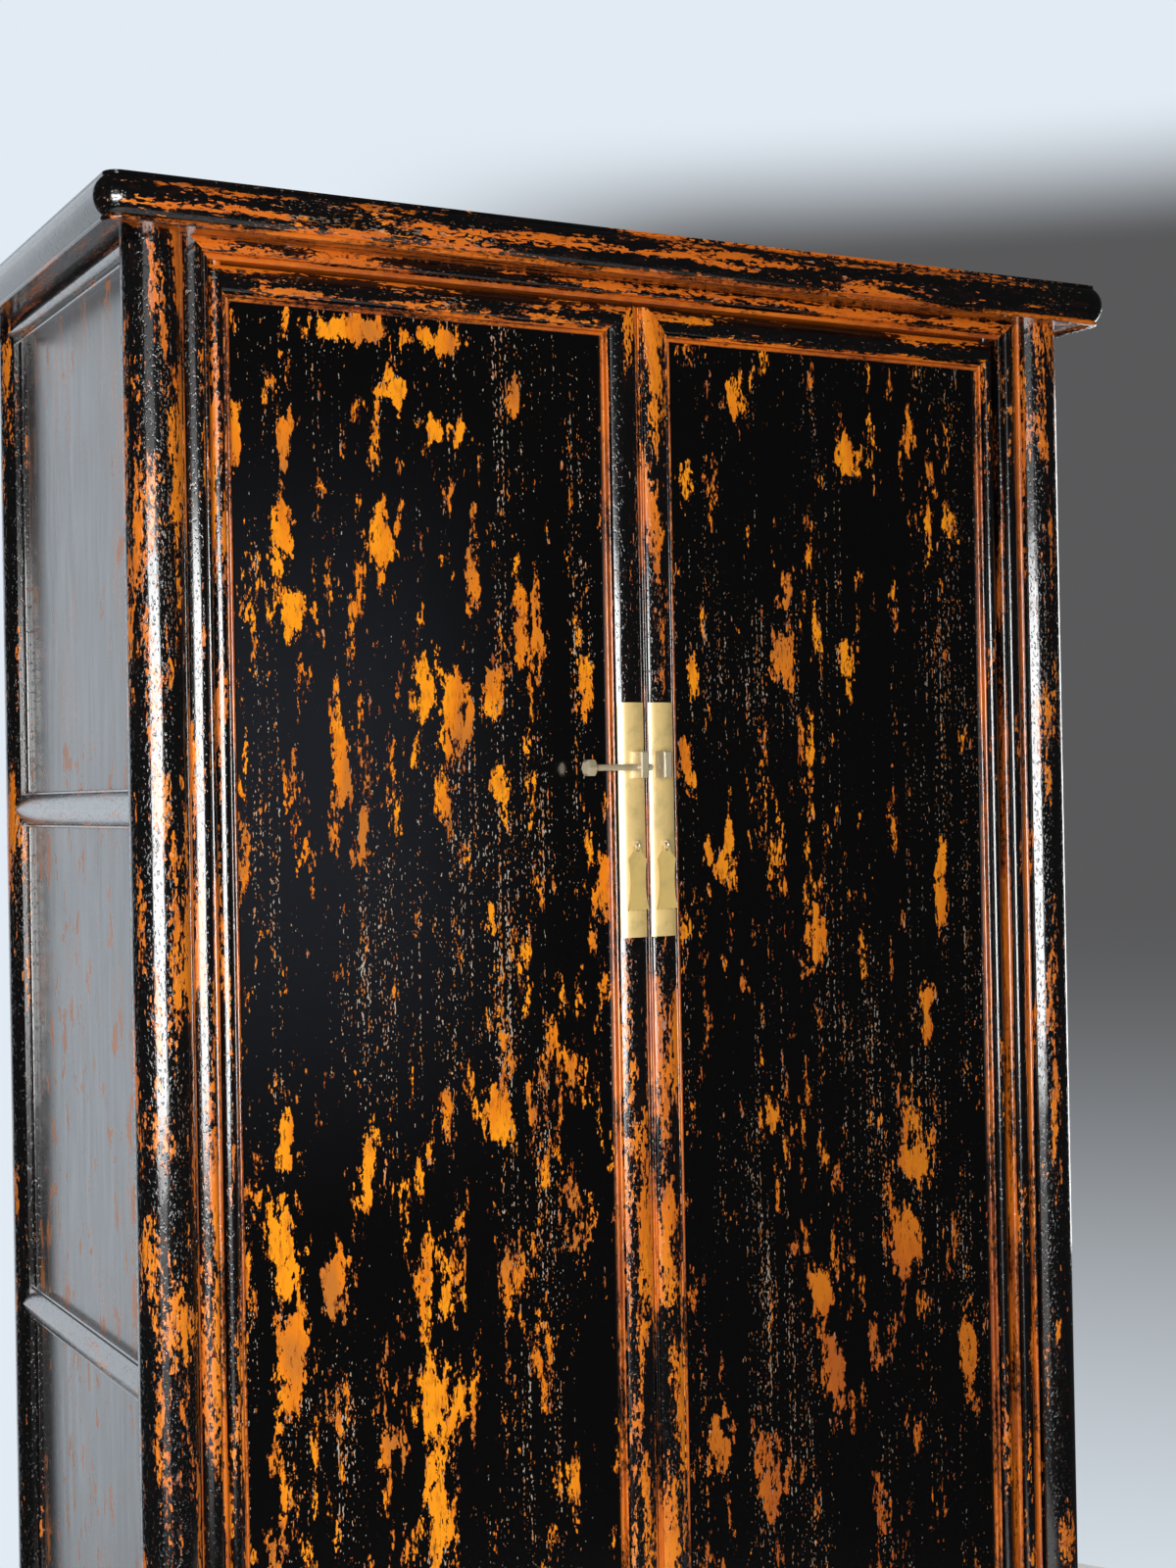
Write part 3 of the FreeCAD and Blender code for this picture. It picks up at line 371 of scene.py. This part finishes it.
class Lacquer:
    """Worn lacquer: black top coat, orange undercoat in flakes with rust rims, small chips, and a fine
    crackle painted with pale glints.
    """

    def __init__(self, name, settings, grain):
        self.material, self.paint = new_finish(name)
        self.settings = settings
        self.grain = grain
        self.where = self.paint.place()
        self.x, self.y, self.z = self.paint.axes(self.where)

    def grained(self, width, length, detail, roughness):
        """Noise whose spots are about so wide and so long along the grain."""
        drawn = self.paint.drawn_out(self.where, self.grain, length / width)
        return self.paint.noise(drawn, 0.6 / width, detail, roughness)

    def cracked(self, width, length):
        """One random number for each cell about so wide and so long along the grain."""
        drawn = self.paint.drawn_out(self.where, self.grain, length / width)
        return self.paint.cells(drawn, 1 / width)

    def scarred(self, scars):
        """1 in the middle of the nearest scar and 0 outside it, with gnawed edges."""
        nearest = None
        for x, z, half_width, half_length in scars:
            factors = (1 / (half_width * MM), 0.0, 1 / (half_length * MM))
            shift = (-x / half_width, 0.0, -z / half_length)
            offset = self.paint.vector("MULTIPLY_ADD", self.where, factors, shift)
            distance = self.paint.vector("LENGTH", offset, output="Value")
            nearest = distance if nearest is None else nearest.at_most(distance)
        gnawed = self.grained(*GNAWED_EDGE, 4.0, 0.65)
        return (nearest + gnawed.sway(3.6)).ease(*SCAR_STEP)

    def at_ends(self):
        """0 a little above the middle of the doors' height and 1 near the top and the foot."""
        least_worn = (PANEL_LOW.z + PANEL_HIGH.z) / 2 + 0.15
        return abs(self.z - least_worn).ease(0.15, 0.55)

    def upper_half(self):
        """1 on the upper half of the cabinet and 0 on the lower half."""
        return self.z.ease(1.0, 1.2)

    def rightward(self):
        """0 on the left half and 1 on the right half, which is less worn."""
        return self.x.ease(-0.2, 0.2)

    def undercoat(self, blotch, dust, ruddy, red):
        """Colour of flakes: orange with amber and dull blotches, redder by ruddy, some black left on."""
        tone = self.settings
        leftover = self.grained(*LEFTOVER, 3.0, 0.65).ease(*LEFTOVER_STEP)
        colour = self.paint.mix(blotch.ease(0.44, 0.56), tone.orange, tone.amber)
        colour = self.paint.mix(blotch.ease(0.46, 0.36), colour, tone.tan)
        colour = self.paint.mix(ruddy, colour, red)
        colour = self.paint.mix(dust.ease(0.50, 0.68) * 0.45, colour, tone.rust)
        return self.paint.mix(leftover * 0.65, colour, tone.maroon)

    def chip_colour(self, blotch, dust):
        """Colour of small chips: rust to orange, some of them down to the pale ground."""
        tone = self.settings
        colour = self.paint.mix(blotch.ease(0.40, 0.60), tone.rust, tone.orange)
        return self.paint.mix(dust.ease(0.50, 0.66) * 0.5, colour, tone.cream_and_glint)

    def rubbed_colour(self, blotch, dust):
        """Colour of rubbed edges: rust to russet, dusted with orange."""
        tone = self.settings
        colour = self.paint.mix(blotch.ease(0.40, 0.60), tone.rust, tone.russet)
        return self.paint.mix(dust.ease(0.45, 0.65) * 0.4, colour, tone.orange)

    def finish(self, flake_size, wear, worn=None, ruddy=0.55, glint_crazing=0.3,
               gloss=0.12, ior=1.8, relief=0.0003, top=None, red=None):
        """Lays the coats on: wear lowers the level at which flakes show, and worn bands are rubbed bare.

        ruddy reddens the undercoat towards red, and crazing is the strength of the fine crackle, whose pale
        dots are painted glints.
        """
        paint = self.paint
        tone = self.settings
        width, length = flake_size
        patch = self.grained(width, length, 5.0, 0.60)
        crowd = self.grained(width * 6, length * 5, 2.0, 0.5)
        ragged = self.grained(*RAGGED_EDGE, 3.0, 0.70)
        cell = self.cracked(*CRACK_CELL)
        run = self.grained(*RUN, 2.0, 0.5)
        flaking = patch + crowd.sway(0.30) + ragged.sway(0.22) + cell.sway(0.12) + wear
        flake = flaking.ease(*FLAKE_STEP)
        rim = flaking.ease(*RIM_STEP)

        chip = self.grained(*CHIP, 4.0, 0.65)
        chipping = chip + crowd.sway(0.30) + patch.sway(0.75) + run.sway(0.25) + cell.sway(0.10)
        chipped = (chipping + wear * 0.8).ease(*CHIP_STEP)
        # Pale speckle along pores and the crackle, painted as glints on the top coat
        row = self.grained(*PORE_ROW, 1.0, 0.5)
        pore = self.grained(*PORE, 1.0, 0.5)
        haze = self.grained(*HAZE, 2.0, 0.5)
        glint_speckling = pore + row.sway(0.5) + haze.sway(0.6) + run.sway(0.25) + patch.sway(0.25)
        glint_specks = glint_speckling.ease(*GLINT_SPECK_STEP) * glint_crazing

        blotch = self.grained(*BLOTCH, 2.0, 0.5)
        dust = self.grained(*DUST, 3.0, 0.6)
        top = top or paint.mix(dust.ease(0.50, 0.70) * ruddy, tone.black, tone.maroon)
        # Painted glints: the speckle turns the top coat tan to pale
        coat = paint.mix(glint_specks, top, paint.mix(dust.ease(0.42, 0.56), tone.tan, tone.cream_and_glint))
        coat = paint.mix(rim * 0.5, coat, tone.rust)
        coat = paint.mix(chipped, coat, self.chip_colour(blotch, dust))
        coat = paint.mix(flake, coat, self.undercoat(blotch, dust, ruddy, red or tone.russet))

        bare = flake.at_least(chipped)
        if worn is not None:
            rubbed = (worn + patch.sway(0.9) + ragged.sway(0.5)).ease(*RUBBED_STEP)
            coat = paint.mix(rubbed, coat, self.rubbed_colour(blotch, dust))
            bare = bare.at_least(rubbed)

        pits = self.grained(*PIT, 2.0, 0.5).ease(*PIT_STEP)
        swell = self.grained(*SWELL, 2.0, 0.5)
        height = swell * 1.5 - pits * 0.4 - bare * 0.15 - glint_specks * 0.15
        paint.surface({
            "Base Color": coat,
            "Roughness": gloss + bare * 0.10 + glint_specks * 0.15,
            "IOR": ior,
            "Normal": paint.bump(height, relief),
        })
        return self.material


class CABINET_OT_finish_posts(bpy.types.Operator):
    """Finishes the four posts, with the beads beside jambs and walls rubbed through"""

    bl_idname = "cabinet.finish_posts"
    bl_label = "Posts"

    def execute(self, context):
        tone = context.scene.cabinet_lacquer
        for end, usual_wear, bead_wear in (("front", 0.075, 0.60), ("back", 0.01, 0.35)):
            coat = Lacquer(f"{end}_post_lacquer", tone, "Z")
            beside_jamb = near(abs(coat.x), abs(POST_HIGH.x), POST_BEAD)
            beside_wall = near(abs(coat.y), abs(POST_HIGH.y), POST_BEAD)
            worn = beside_jamb.at_least(beside_wall * 0.8) * bead_wear
            low = coat.z.ease(0.95, 0.70)
            wear = usual_wear + coat.at_ends() * 0.02 - coat.rightward() * 0.03 - low * 0.05
            material = coat.finish(POST_FLAKE, wear, worn, relief=0.0005)
            dress(material, [f"{end}_{side}_post" for side in SIDES])
        return {"FINISHED"}


class CABINET_OT_finish_surround(bpy.types.Operator):
    """Finishes the jambs, lintel and sill round the doors"""

    bl_idname = "cabinet.finish_surround"
    bl_label = "Door surround"

    def execute(self, context):
        tone = context.scene.cabinet_lacquer
        jamb = Lacquer("jamb_lacquer", tone, "Z")
        bead = near(abs(jamb.x), abs(JAMB_HIGH.x), JAMB_BEAD) * 0.55
        slope = near(abs(jamb.x), abs(JAMB_LOW.x), JAMB_SLOPE, -1) * 0.40
        worn = bead.at_least(slope) * (1 - jamb.z.ease(1.15, 1.45) * 0.25)
        low = jamb.z.ease(1.10, 0.80)
        high = jamb.z.ease(1.35, 1.60)
        wear = 0.045 + low * 0.05 - high * 0.045 - jamb.rightward() * 0.03
        dress(jamb.finish(JAMB_FLAKE, wear, worn), [f"{side}_jamb" for side in SIDES])

        across = Lacquer("lintel_lacquer", tone, "X")
        upper_half = across.upper_half()
        below = near(across.z, LINTEL_LOW.z, LINTEL_BEAD) * upper_half
        above = near(across.z, SILL_HIGH.z, LINTEL_BEAD, -1) * (1 - upper_half)
        worn = below.at_least(above) * 0.65
        dress(across.finish(LINTEL_FLAKE, 0.095, worn, ruddy=1.0), ["lintel", "sill"])
        return {"FINISHED"}


class CABINET_OT_finish_cap(bpy.types.Operator):
    """Finishes the cap's rails and panel"""

    bl_idname = "cabinet.finish_cap"
    bl_label = "Cap"

    def execute(self, context):
        tone = context.scene.cabinet_lacquer
        end_margin = 0.09
        end_wear = -0.06
        for name, grain, wear, lip_wear, nodes in (
            ("cap_lacquer_long", "X", 0.050, 0.54, ["cap_front_rail", "cap_back_rail", "cap_panel"]),
            ("cap_lacquer_short", "Y", -0.02, 0.38, ["cap_left_rail", "cap_right_rail"]),
        ):
            coat = Lacquer(name, tone, grain)
            inward = abs(coat.x).ease(CAP_HIGH.x, CAP_HIGH.x - end_margin)
            lip = near(coat.z, CAP_LOW.z, CAP_LIP) * lip_wear
            dress(coat.finish(CAP_FLAKE, inward * (wear - end_wear) + end_wear, lip, ruddy=1.0), nodes)
        return {"FINISHED"}


class CABINET_OT_finish_doors(bpy.types.Operator):
    """Finishes the door frames and panels"""

    bl_idname = "cabinet.finish_doors"
    bl_label = "Doors"

    def execute(self, context):
        tone = context.scene.cabinet_lacquer
        band = tone.bead_band
        bead_wear = 0.55
        stile = Lacquer("pivot_stile_lacquer", tone, "Z")
        worn = near(abs(stile.x), abs(PIVOT_STILE_HIGH.x), band) * bead_wear
        wear = 0.04 + stile.at_ends() * 0.04 - stile.rightward() * 0.03
        material = stile.finish(PIVOT_STILE_FLAKE, wear, worn)
        dress(material, [f"{side}_door_pivot_stile" for side in SIDES])

        stile = Lacquer("meeting_stile_lacquer", tone, "Z")
        inner = near(abs(stile.x), abs(MEETING_STILE_LOW.x), band, -1) * bead_wear
        edge = near(abs(stile.x), abs(MEETING_STILE_HIGH.x), MEETING_EDGE) * 0.50
        right_of_gap = stile.x.ease(-MM, MM)
        high = stile.z.ease(1.40, 1.60)
        wear = 0.055 + stile.at_ends() * 0.05 + right_of_gap.sway(0.16) * high
        material = stile.finish(MEETING_STILE_FLAKE, wear, inner.at_least(edge))
        dress(material, [f"{side}_door_meeting_stile" for side in SIDES])

        rail = Lacquer("door_rail_lacquer", tone, "X")
        upper_half = rail.upper_half()
        below = near(rail.z, TOP_RAIL_LOW.z, band) * upper_half
        above = near(rail.z, BOTTOM_RAIL_HIGH.z, band, -1) * (1 - upper_half)
        material = rail.finish(DOOR_RAIL_FLAKE, 0.09, below.at_least(above) * bead_wear)
        dress(material, [f"{side}_door_{end}_rail" for side in SIDES for end in ("top", "bottom")])

        flake_size = (tone.flake_width, tone.flake_length)
        # crazing, the last number, sets how much painted glint speckle each door panel shows
        for side, low_wear, low_red, glint_crazing in (("left", 0.05, 0.0, 0.9), ("right", -0.010, 0.85, 0.60)):
            panel = Lacquer(f"{side}_door_panel_lacquer", tone, "Z")
            low = panel.z.ease(PANEL_HIGH.z, PANEL_LOW.z)
            inside = near(panel.y, PANEL_HIGH.y, PANEL_BACK, -1)
            wear = panel.scarred(SCARS[side]) * 0.25 + low * low_wear - 0.03 - inside * 0.4
            # Painted sheen: grey-blue over the black at the camera's height on the left of the left door,
            # standing in for a reflection
            sheen_zone = abs(panel.z - 1.28).ease(0.40, 0.05) * panel.x.ease(-0.08, -0.30)
            top = panel.paint.mix(sheen_zone, tone.black, tone.painted_sheen)
            top = panel.paint.mix(inside, top, tone.stain)
            material = panel.finish(
                flake_size, wear, ruddy=low * low_red, glint_crazing=(1 - inside) * glint_crazing,
                ior=1.45, relief=0.00005, top=top, red=tone.rust,
            )
            dress(material, [f"{side}_door_panel"])
        return {"FINISHED"}


class CABINET_OT_finish_walls(bpy.types.Operator):
    """Finishes the side and back walls and the aprons"""

    bl_idname = "cabinet.finish_walls"
    bl_label = "Walls and aprons"

    def execute(self, context):
        tone = context.scene.cabinet_lacquer
        rail = Lacquer("side_rail_lacquer", tone, "Y")
        rails = [f"{side}_{level}_rail" for side in SIDES for level in ("top", "upper", "lower", "bottom")]
        # The rails' paler top coat is a painted sheen
        dress(rail.finish(SIDE_RAIL_FLAKE, 0.0, gloss=0.18, ior=3.0, top=tone.sheen_satin), rails)
        apron_wear = 0.03
        side_apron = Lacquer("side_apron_lacquer", tone, "Y")
        dress(side_apron.finish(APRON_FLAKE, apron_wear), [f"{side}_apron" for side in SIDES])
        apron = Lacquer("apron_lacquer", tone, "X")
        long_nodes = ["front_apron", "back_apron", "back_top_rail", "back_bottom_rail"]
        spandrels = [f"front_{side}_spandrel" for side in SIDES]
        dress(apron.finish(APRON_FLAKE, apron_wear), long_nodes + spandrels)

        panels = [f"{side}_{bay}_panel" for side in SIDES for bay in BAYS]
        dress(satin_finish("side_panel_lacquer", tone, streaks=0.45, blots=0.65), panels)
        dress(satin_finish("back_panel_lacquer", tone, streaks=0.30, blots=0.35), ["back_panel"])
        return {"FINISHED"}


def satin_finish(name, tone, streaks, blots):
    """Dull lacquer of the wall panels, streaked along the grain, with bare blots mostly near each foot."""
    material, paint = new_finish(name)
    where = paint.place()
    streak = paint.noise(paint.drawn_out(where, "Z", 9.0), scale=75.0, detail=4.0, roughness=0.62)
    broad = paint.noise(paint.drawn_out(where, "Z", 2.5), scale=11.0, detail=3.0, roughness=0.55)
    fine = paint.noise(paint.drawn_out(where, "Z", 8.0), scale=420.0, detail=3.0, roughness=0.6)
    blot = paint.noise(paint.drawn_out(where, "Z", 2.0), scale=42.0, detail=5.0, roughness=0.68)
    x, y, z = paint.axes(where)
    side_middle = (SIDE_PANEL_LOW.x + SIDE_PANEL_HIGH.x) / 2
    back_middle = (BACK_PANEL_LOW.y + BACK_PANEL_HIGH.y) / 2
    outside = near(abs(x), side_middle, MM, -1).at_least(near(y, back_middle, MM, -1))
    feet = [near(z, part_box(f"left_{level}_panel")[0].z, PANEL_FOOT) for level in BAYS]
    foot = feet[0].at_least(feet[1]).at_least(feet[2])
    rubbed = (streak + broad.sway(0.5)).ease(0.55, 0.72)
    bare = (blot + broad.sway(0.25) + foot * 0.07).ease(0.66, 0.70)
    inside_streaks = 0.15
    streaking = outside * (streaks - inside_streaks) + inside_streaks
    colour = paint.mix(outside, tone.stain, tone.satin)
    colour = paint.mix(rubbed * streaking, colour, tone.tan)
    colour = paint.mix(fine.ease(0.60, 0.75) * 0.25, colour, tone.cream_and_glint)
    colour = paint.mix(bare * outside * blots, colour, tone.orange)
    paint.surface({
        "Base Color": colour,
        "Roughness": 0.24 + streak.sway(0.25) + bare * 0.15,
        "IOR": 1.75,
        "Specular IOR Level": 0.6,
        "Normal": paint.bump(fine * 0.2 + streak, distance=0.00015, strength=0.5),
    })
    return material


class CABINET_OT_finish_inside(bpy.types.Operator):
    """Finishes the shelves, the floor and the battens behind the door panels"""

    bl_idname = "cabinet.finish_inside"
    bl_label = "Inside"

    def execute(self, context):
        tone = context.scene.cabinet_timber
        material, paint = new_finish("inside_timber")
        where = paint.place()
        drawn = paint.drawn_out(where, "X", 12.0)
        sweep = paint.noise(drawn, scale=14.0, detail=4.0, roughness=0.55, distortion=0.6)
        rings_across = 22.0
        ring = (sweep * rings_across).fraction()
        pores = paint.noise(paint.drawn_out(where, "X", 30.0), scale=900.0, detail=2.0, roughness=0.5)
        figure = ring.ease(0.0, 0.75) * ring.ease(1.0, 0.9)
        colour = paint.mix(figure * 0.8, tone.pale, tone.dark)
        colour = paint.mix(pores.ease(0.60, 0.72) * 0.5, colour, tone.dark)
        height = figure * 0.3 - pores.ease(0.58, 0.70) * 0.5
        paint.surface({
            "Base Color": colour,
            "Roughness": 0.52 + pores.sway(0.3),
            "Normal": paint.bump(height, distance=0.0004, strength=0.5),
        })
        boards = ["upper_shelf", "lower_shelf", "floor_board"]
        dress(material, boards + [f"{side}_door_battens" for side in SIDES])
        return {"FINISHED"}


class CABINET_OT_finish_brass(bpy.types.Operator):
    """Finishes the lock plates, lugs, pin, eyes and pendants"""

    bl_idname = "cabinet.finish_brass"
    bl_label = "Brass fittings"

    def execute(self, context):
        tone = context.scene.cabinet_brass
        polished = {"metallic": 0.15, "roughness": 0.36, "polish": 1.0}
        plates = [f"{side}_lock_plate" for side in SIDES]
        dress(brass_finish("plate_brass", tone.bright, tone.dull, **polished), plates)
        pendants = [f"{side}_pendant" for side in SIDES]
        dress(brass_finish("pendant_brass", tone.deep, tone.dull, **polished), pendants)
        thick = [f"{side}_{name}" for side in SIDES for name in ("lock_lug", "pendant_eye")]
        handled = brass_finish("handled_brass", tone.handled, tone.dull, 0.5, 0.24, 0.0)
        dress(handled, thick + ["lock_pin"])
        return {"FINISHED"}


def brass_finish(name, bright, dull, metallic, roughness, polish):
    """Brass with cloudy tarnish, fine brushing and pits."""
    material, paint = new_finish(name)
    where = paint.place()
    cloud = paint.noise(where, scale=55.0, detail=4.0, roughness=0.6)
    brushed = paint.noise(paint.drawn_out(where, "Z", 18.0), scale=1400.0, detail=3.0, roughness=0.6)
    pit = paint.noise(where, scale=900.0, detail=2.0, roughness=0.5)
    colour = paint.mix(cloud.ease(0.46, 0.72) * 0.55, bright, dull)
    colour = paint.mix(pit.ease(0.66, 0.74) * 0.5, colour, dull)
    height = brushed * 0.5 + cloud * 2.0 - pit.ease(0.64, 0.74)
    paint.surface({
        "Base Color": colour,
        "Metallic": metallic,
        "Roughness": roughness + cloud.sway(0.16) + brushed.sway(0.16),
        "Coat Weight": polish,
        "Coat Roughness": 0.2,
        "Coat IOR": 1.7,
        "Normal": paint.bump(height, distance=0.0003, strength=0.4),
    })
    return material


class CABINET_OT_set_stage(bpy.types.Operator):
    """Adds the floor, surroundings, lights and camera"""

    bl_idname = "cabinet.set_stage"
    bl_label = "Stage"

    def execute(self, context):
        tone = context.scene.cabinet_stage
        lay_floor(tone)
        paint_surroundings(context.scene, tone)
        for light in LIGHTS:
            hang_light(*light)
        set_camera(context.scene, tone)
        context.scene.view_settings.view_transform = "Standard"
        return {"FINISHED"}


def lay_floor(tone):
    """Round pale floor."""
    shape = bmesh.new()
    bmesh.ops.create_circle(shape, cap_ends=True, segments=128, radius=tone.floor_radius)
    mesh = bpy.data.meshes.new("floor")
    shape.to_mesh(mesh)
    shape.free()
    floor = bpy.data.objects.new("floor", mesh)
    bpy.context.scene.collection.objects.link(floor)
    material, paint = new_finish("floor_paint")
    cloud = paint.noise(paint.place(), scale=6.0, detail=4.0, roughness=0.6)
    shade = tuple(part * 0.94 for part in tone.floor)
    paint.surface({
        "Base Color": paint.mix(cloud.ease(0.35, 0.65), tone.floor, shade),
        "Roughness": 0.55 + cloud.sway(0.1),
    })
    mesh.materials.append(material)


def paint_surroundings(scene, tone):
    """Pale backdrop, shaded to the right; reflections see it only behind, and dark screens elsewhere."""
    world = bpy.data.worlds.new("studio")
    scene.world = world
    paint = Paint(world)
    direction = paint.node("ShaderNodeTexCoord", output="Generated")

    def towards(turn, full, fade):
        """1 within full degrees of a level aim, turned right from straight ahead, and 0 past fade."""
        aim = (math.sin(math.radians(turn)), math.cos(math.radians(turn)), 0.0)
        nearness = paint.vector("DOT_PRODUCT", direction, aim, output="Value")
        return nearness.ease(math.cos(math.radians(fade)), math.cos(math.radians(full)))

    seen = paint.node("ShaderNodeLightPath", output="Is Camera Ray")
    pale = towards(turn=8, full=26, fade=42).at_least(seen)
    bright = towards(turn=-18, full=12, fade=30) * (1 - seen)
    level = paint.axes(direction)[2]
    # Painted shadow of the cabinet on the backdrop, seen by the camera only: to the right, below about 14
    # degrees above level, fading out below level
    cast_shadow = towards(turn=52, full=24, fade=34) * level.ease(0.29, 0.23) * level.ease(-0.42, -0.05)
    shaded = towards(turn=52, full=8, fade=28) * (1 - seen) + cast_shadow * seen
    colour = paint.mix(pale, tone.dark_side, tone.pale_side)
    colour = paint.mix(shaded, colour, tone.shaded_side)
    inputs = {"Color": colour, "Strength": 1 + bright * 0.55}
    background = paint.node("ShaderNodeBackground", None, inputs)
    paint.node("ShaderNodeOutputWorld", None, {"Surface": background})


def hang_light(name, place, target, size, radiance):
    """Rectangular soft light of an even brightness, aimed at a target."""
    width, height = size
    lamp = bpy.data.lights.new(name, "AREA")
    lamp.shape = "RECTANGLE"
    lamp.size = width
    lamp.size_y = height
    lamp.energy = radiance * math.pi * width * height
    light = bpy.data.objects.new(name, lamp)
    aim = Vector(target) - Vector(place)
    light.matrix_world = Matrix.Translation(place) @ aim.to_track_quat("-Z", "Y").to_matrix().to_4x4()
    light.visible_camera = False
    bpy.context.scene.collection.objects.link(light)


def set_camera(scene, tone):
    """Camera where the photograph was taken from."""
    lens = bpy.data.cameras.new("camera")
    lens.sensor_fit = "VERTICAL"
    lens.sensor_height = 36.0
    lens.lens = tone.camera_lens
    lens.shift_x = tone.camera_shift[0]
    lens.shift_y = tone.camera_shift[1]
    camera = bpy.data.objects.new("camera", lens)
    turn = Matrix.Rotation(-tone.camera_turn, 4, "Z")
    tilt = Matrix.Rotation(math.pi / 2 + tone.camera_tilt, 4, "X")
    roll = Matrix.Rotation(tone.camera_roll, 4, "Z")
    camera.matrix_world = Matrix.Translation(tone.camera_place) @ turn @ tilt @ roll
    scene.collection.objects.link(camera)
    scene.camera = camera


class CABINET_PT_panel(bpy.types.Panel):
    """Lists the cabinet's operators and settings"""

    bl_label = "Cabinet"
    bl_idname = "CABINET_PT_panel"
    bl_space_type = "VIEW_3D"
    bl_region_type = "UI"
    bl_category = "Cabinet"

    def draw(self, context):
        for operator in OPERATORS:
            self.layout.operator(operator.bl_idname)
        for name, group in SETTINGS.items():
            box = self.layout.box()
            box.label(text=group.__doc__)
            for key in group.__annotations__:
                box.prop(getattr(context.scene, name), key)


SETTINGS = {
    "cabinet_lacquer": LacquerSettings,
    "cabinet_timber": TimberSettings,
    "cabinet_brass": BrassSettings,
    "cabinet_stage": StageSettings,
}
OPERATORS = (
    CABINET_OT_finish_posts,
    CABINET_OT_finish_surround,
    CABINET_OT_finish_cap,
    CABINET_OT_finish_doors,
    CABINET_OT_finish_walls,
    CABINET_OT_finish_inside,
    CABINET_OT_finish_brass,
    CABINET_OT_set_stage,
)


def register():
    """Registers the settings, operators and panel."""
    for name, group in SETTINGS.items():
        bpy.utils.register_class(group)
        setattr(bpy.types.Scene, name, PointerProperty(type=group))
    for operator in OPERATORS:
        bpy.utils.register_class(operator)
    bpy.utils.register_class(CABINET_PT_panel)


def unregister():
    """Removes what register added."""
    bpy.utils.unregister_class(CABINET_PT_panel)
    for operator in reversed(OPERATORS):
        bpy.utils.unregister_class(operator)
    for name, group in reversed(SETTINGS.items()):
        delattr(bpy.types.Scene, name)
        bpy.utils.unregister_class(group)


def main():
    """Finishes the cabinet and sets the stage."""
    register()
    for operator in OPERATORS:
        family, verb = operator.bl_idname.split(".")
        getattr(getattr(bpy.ops, family), verb)()


if __name__ == "__main__":
    main()
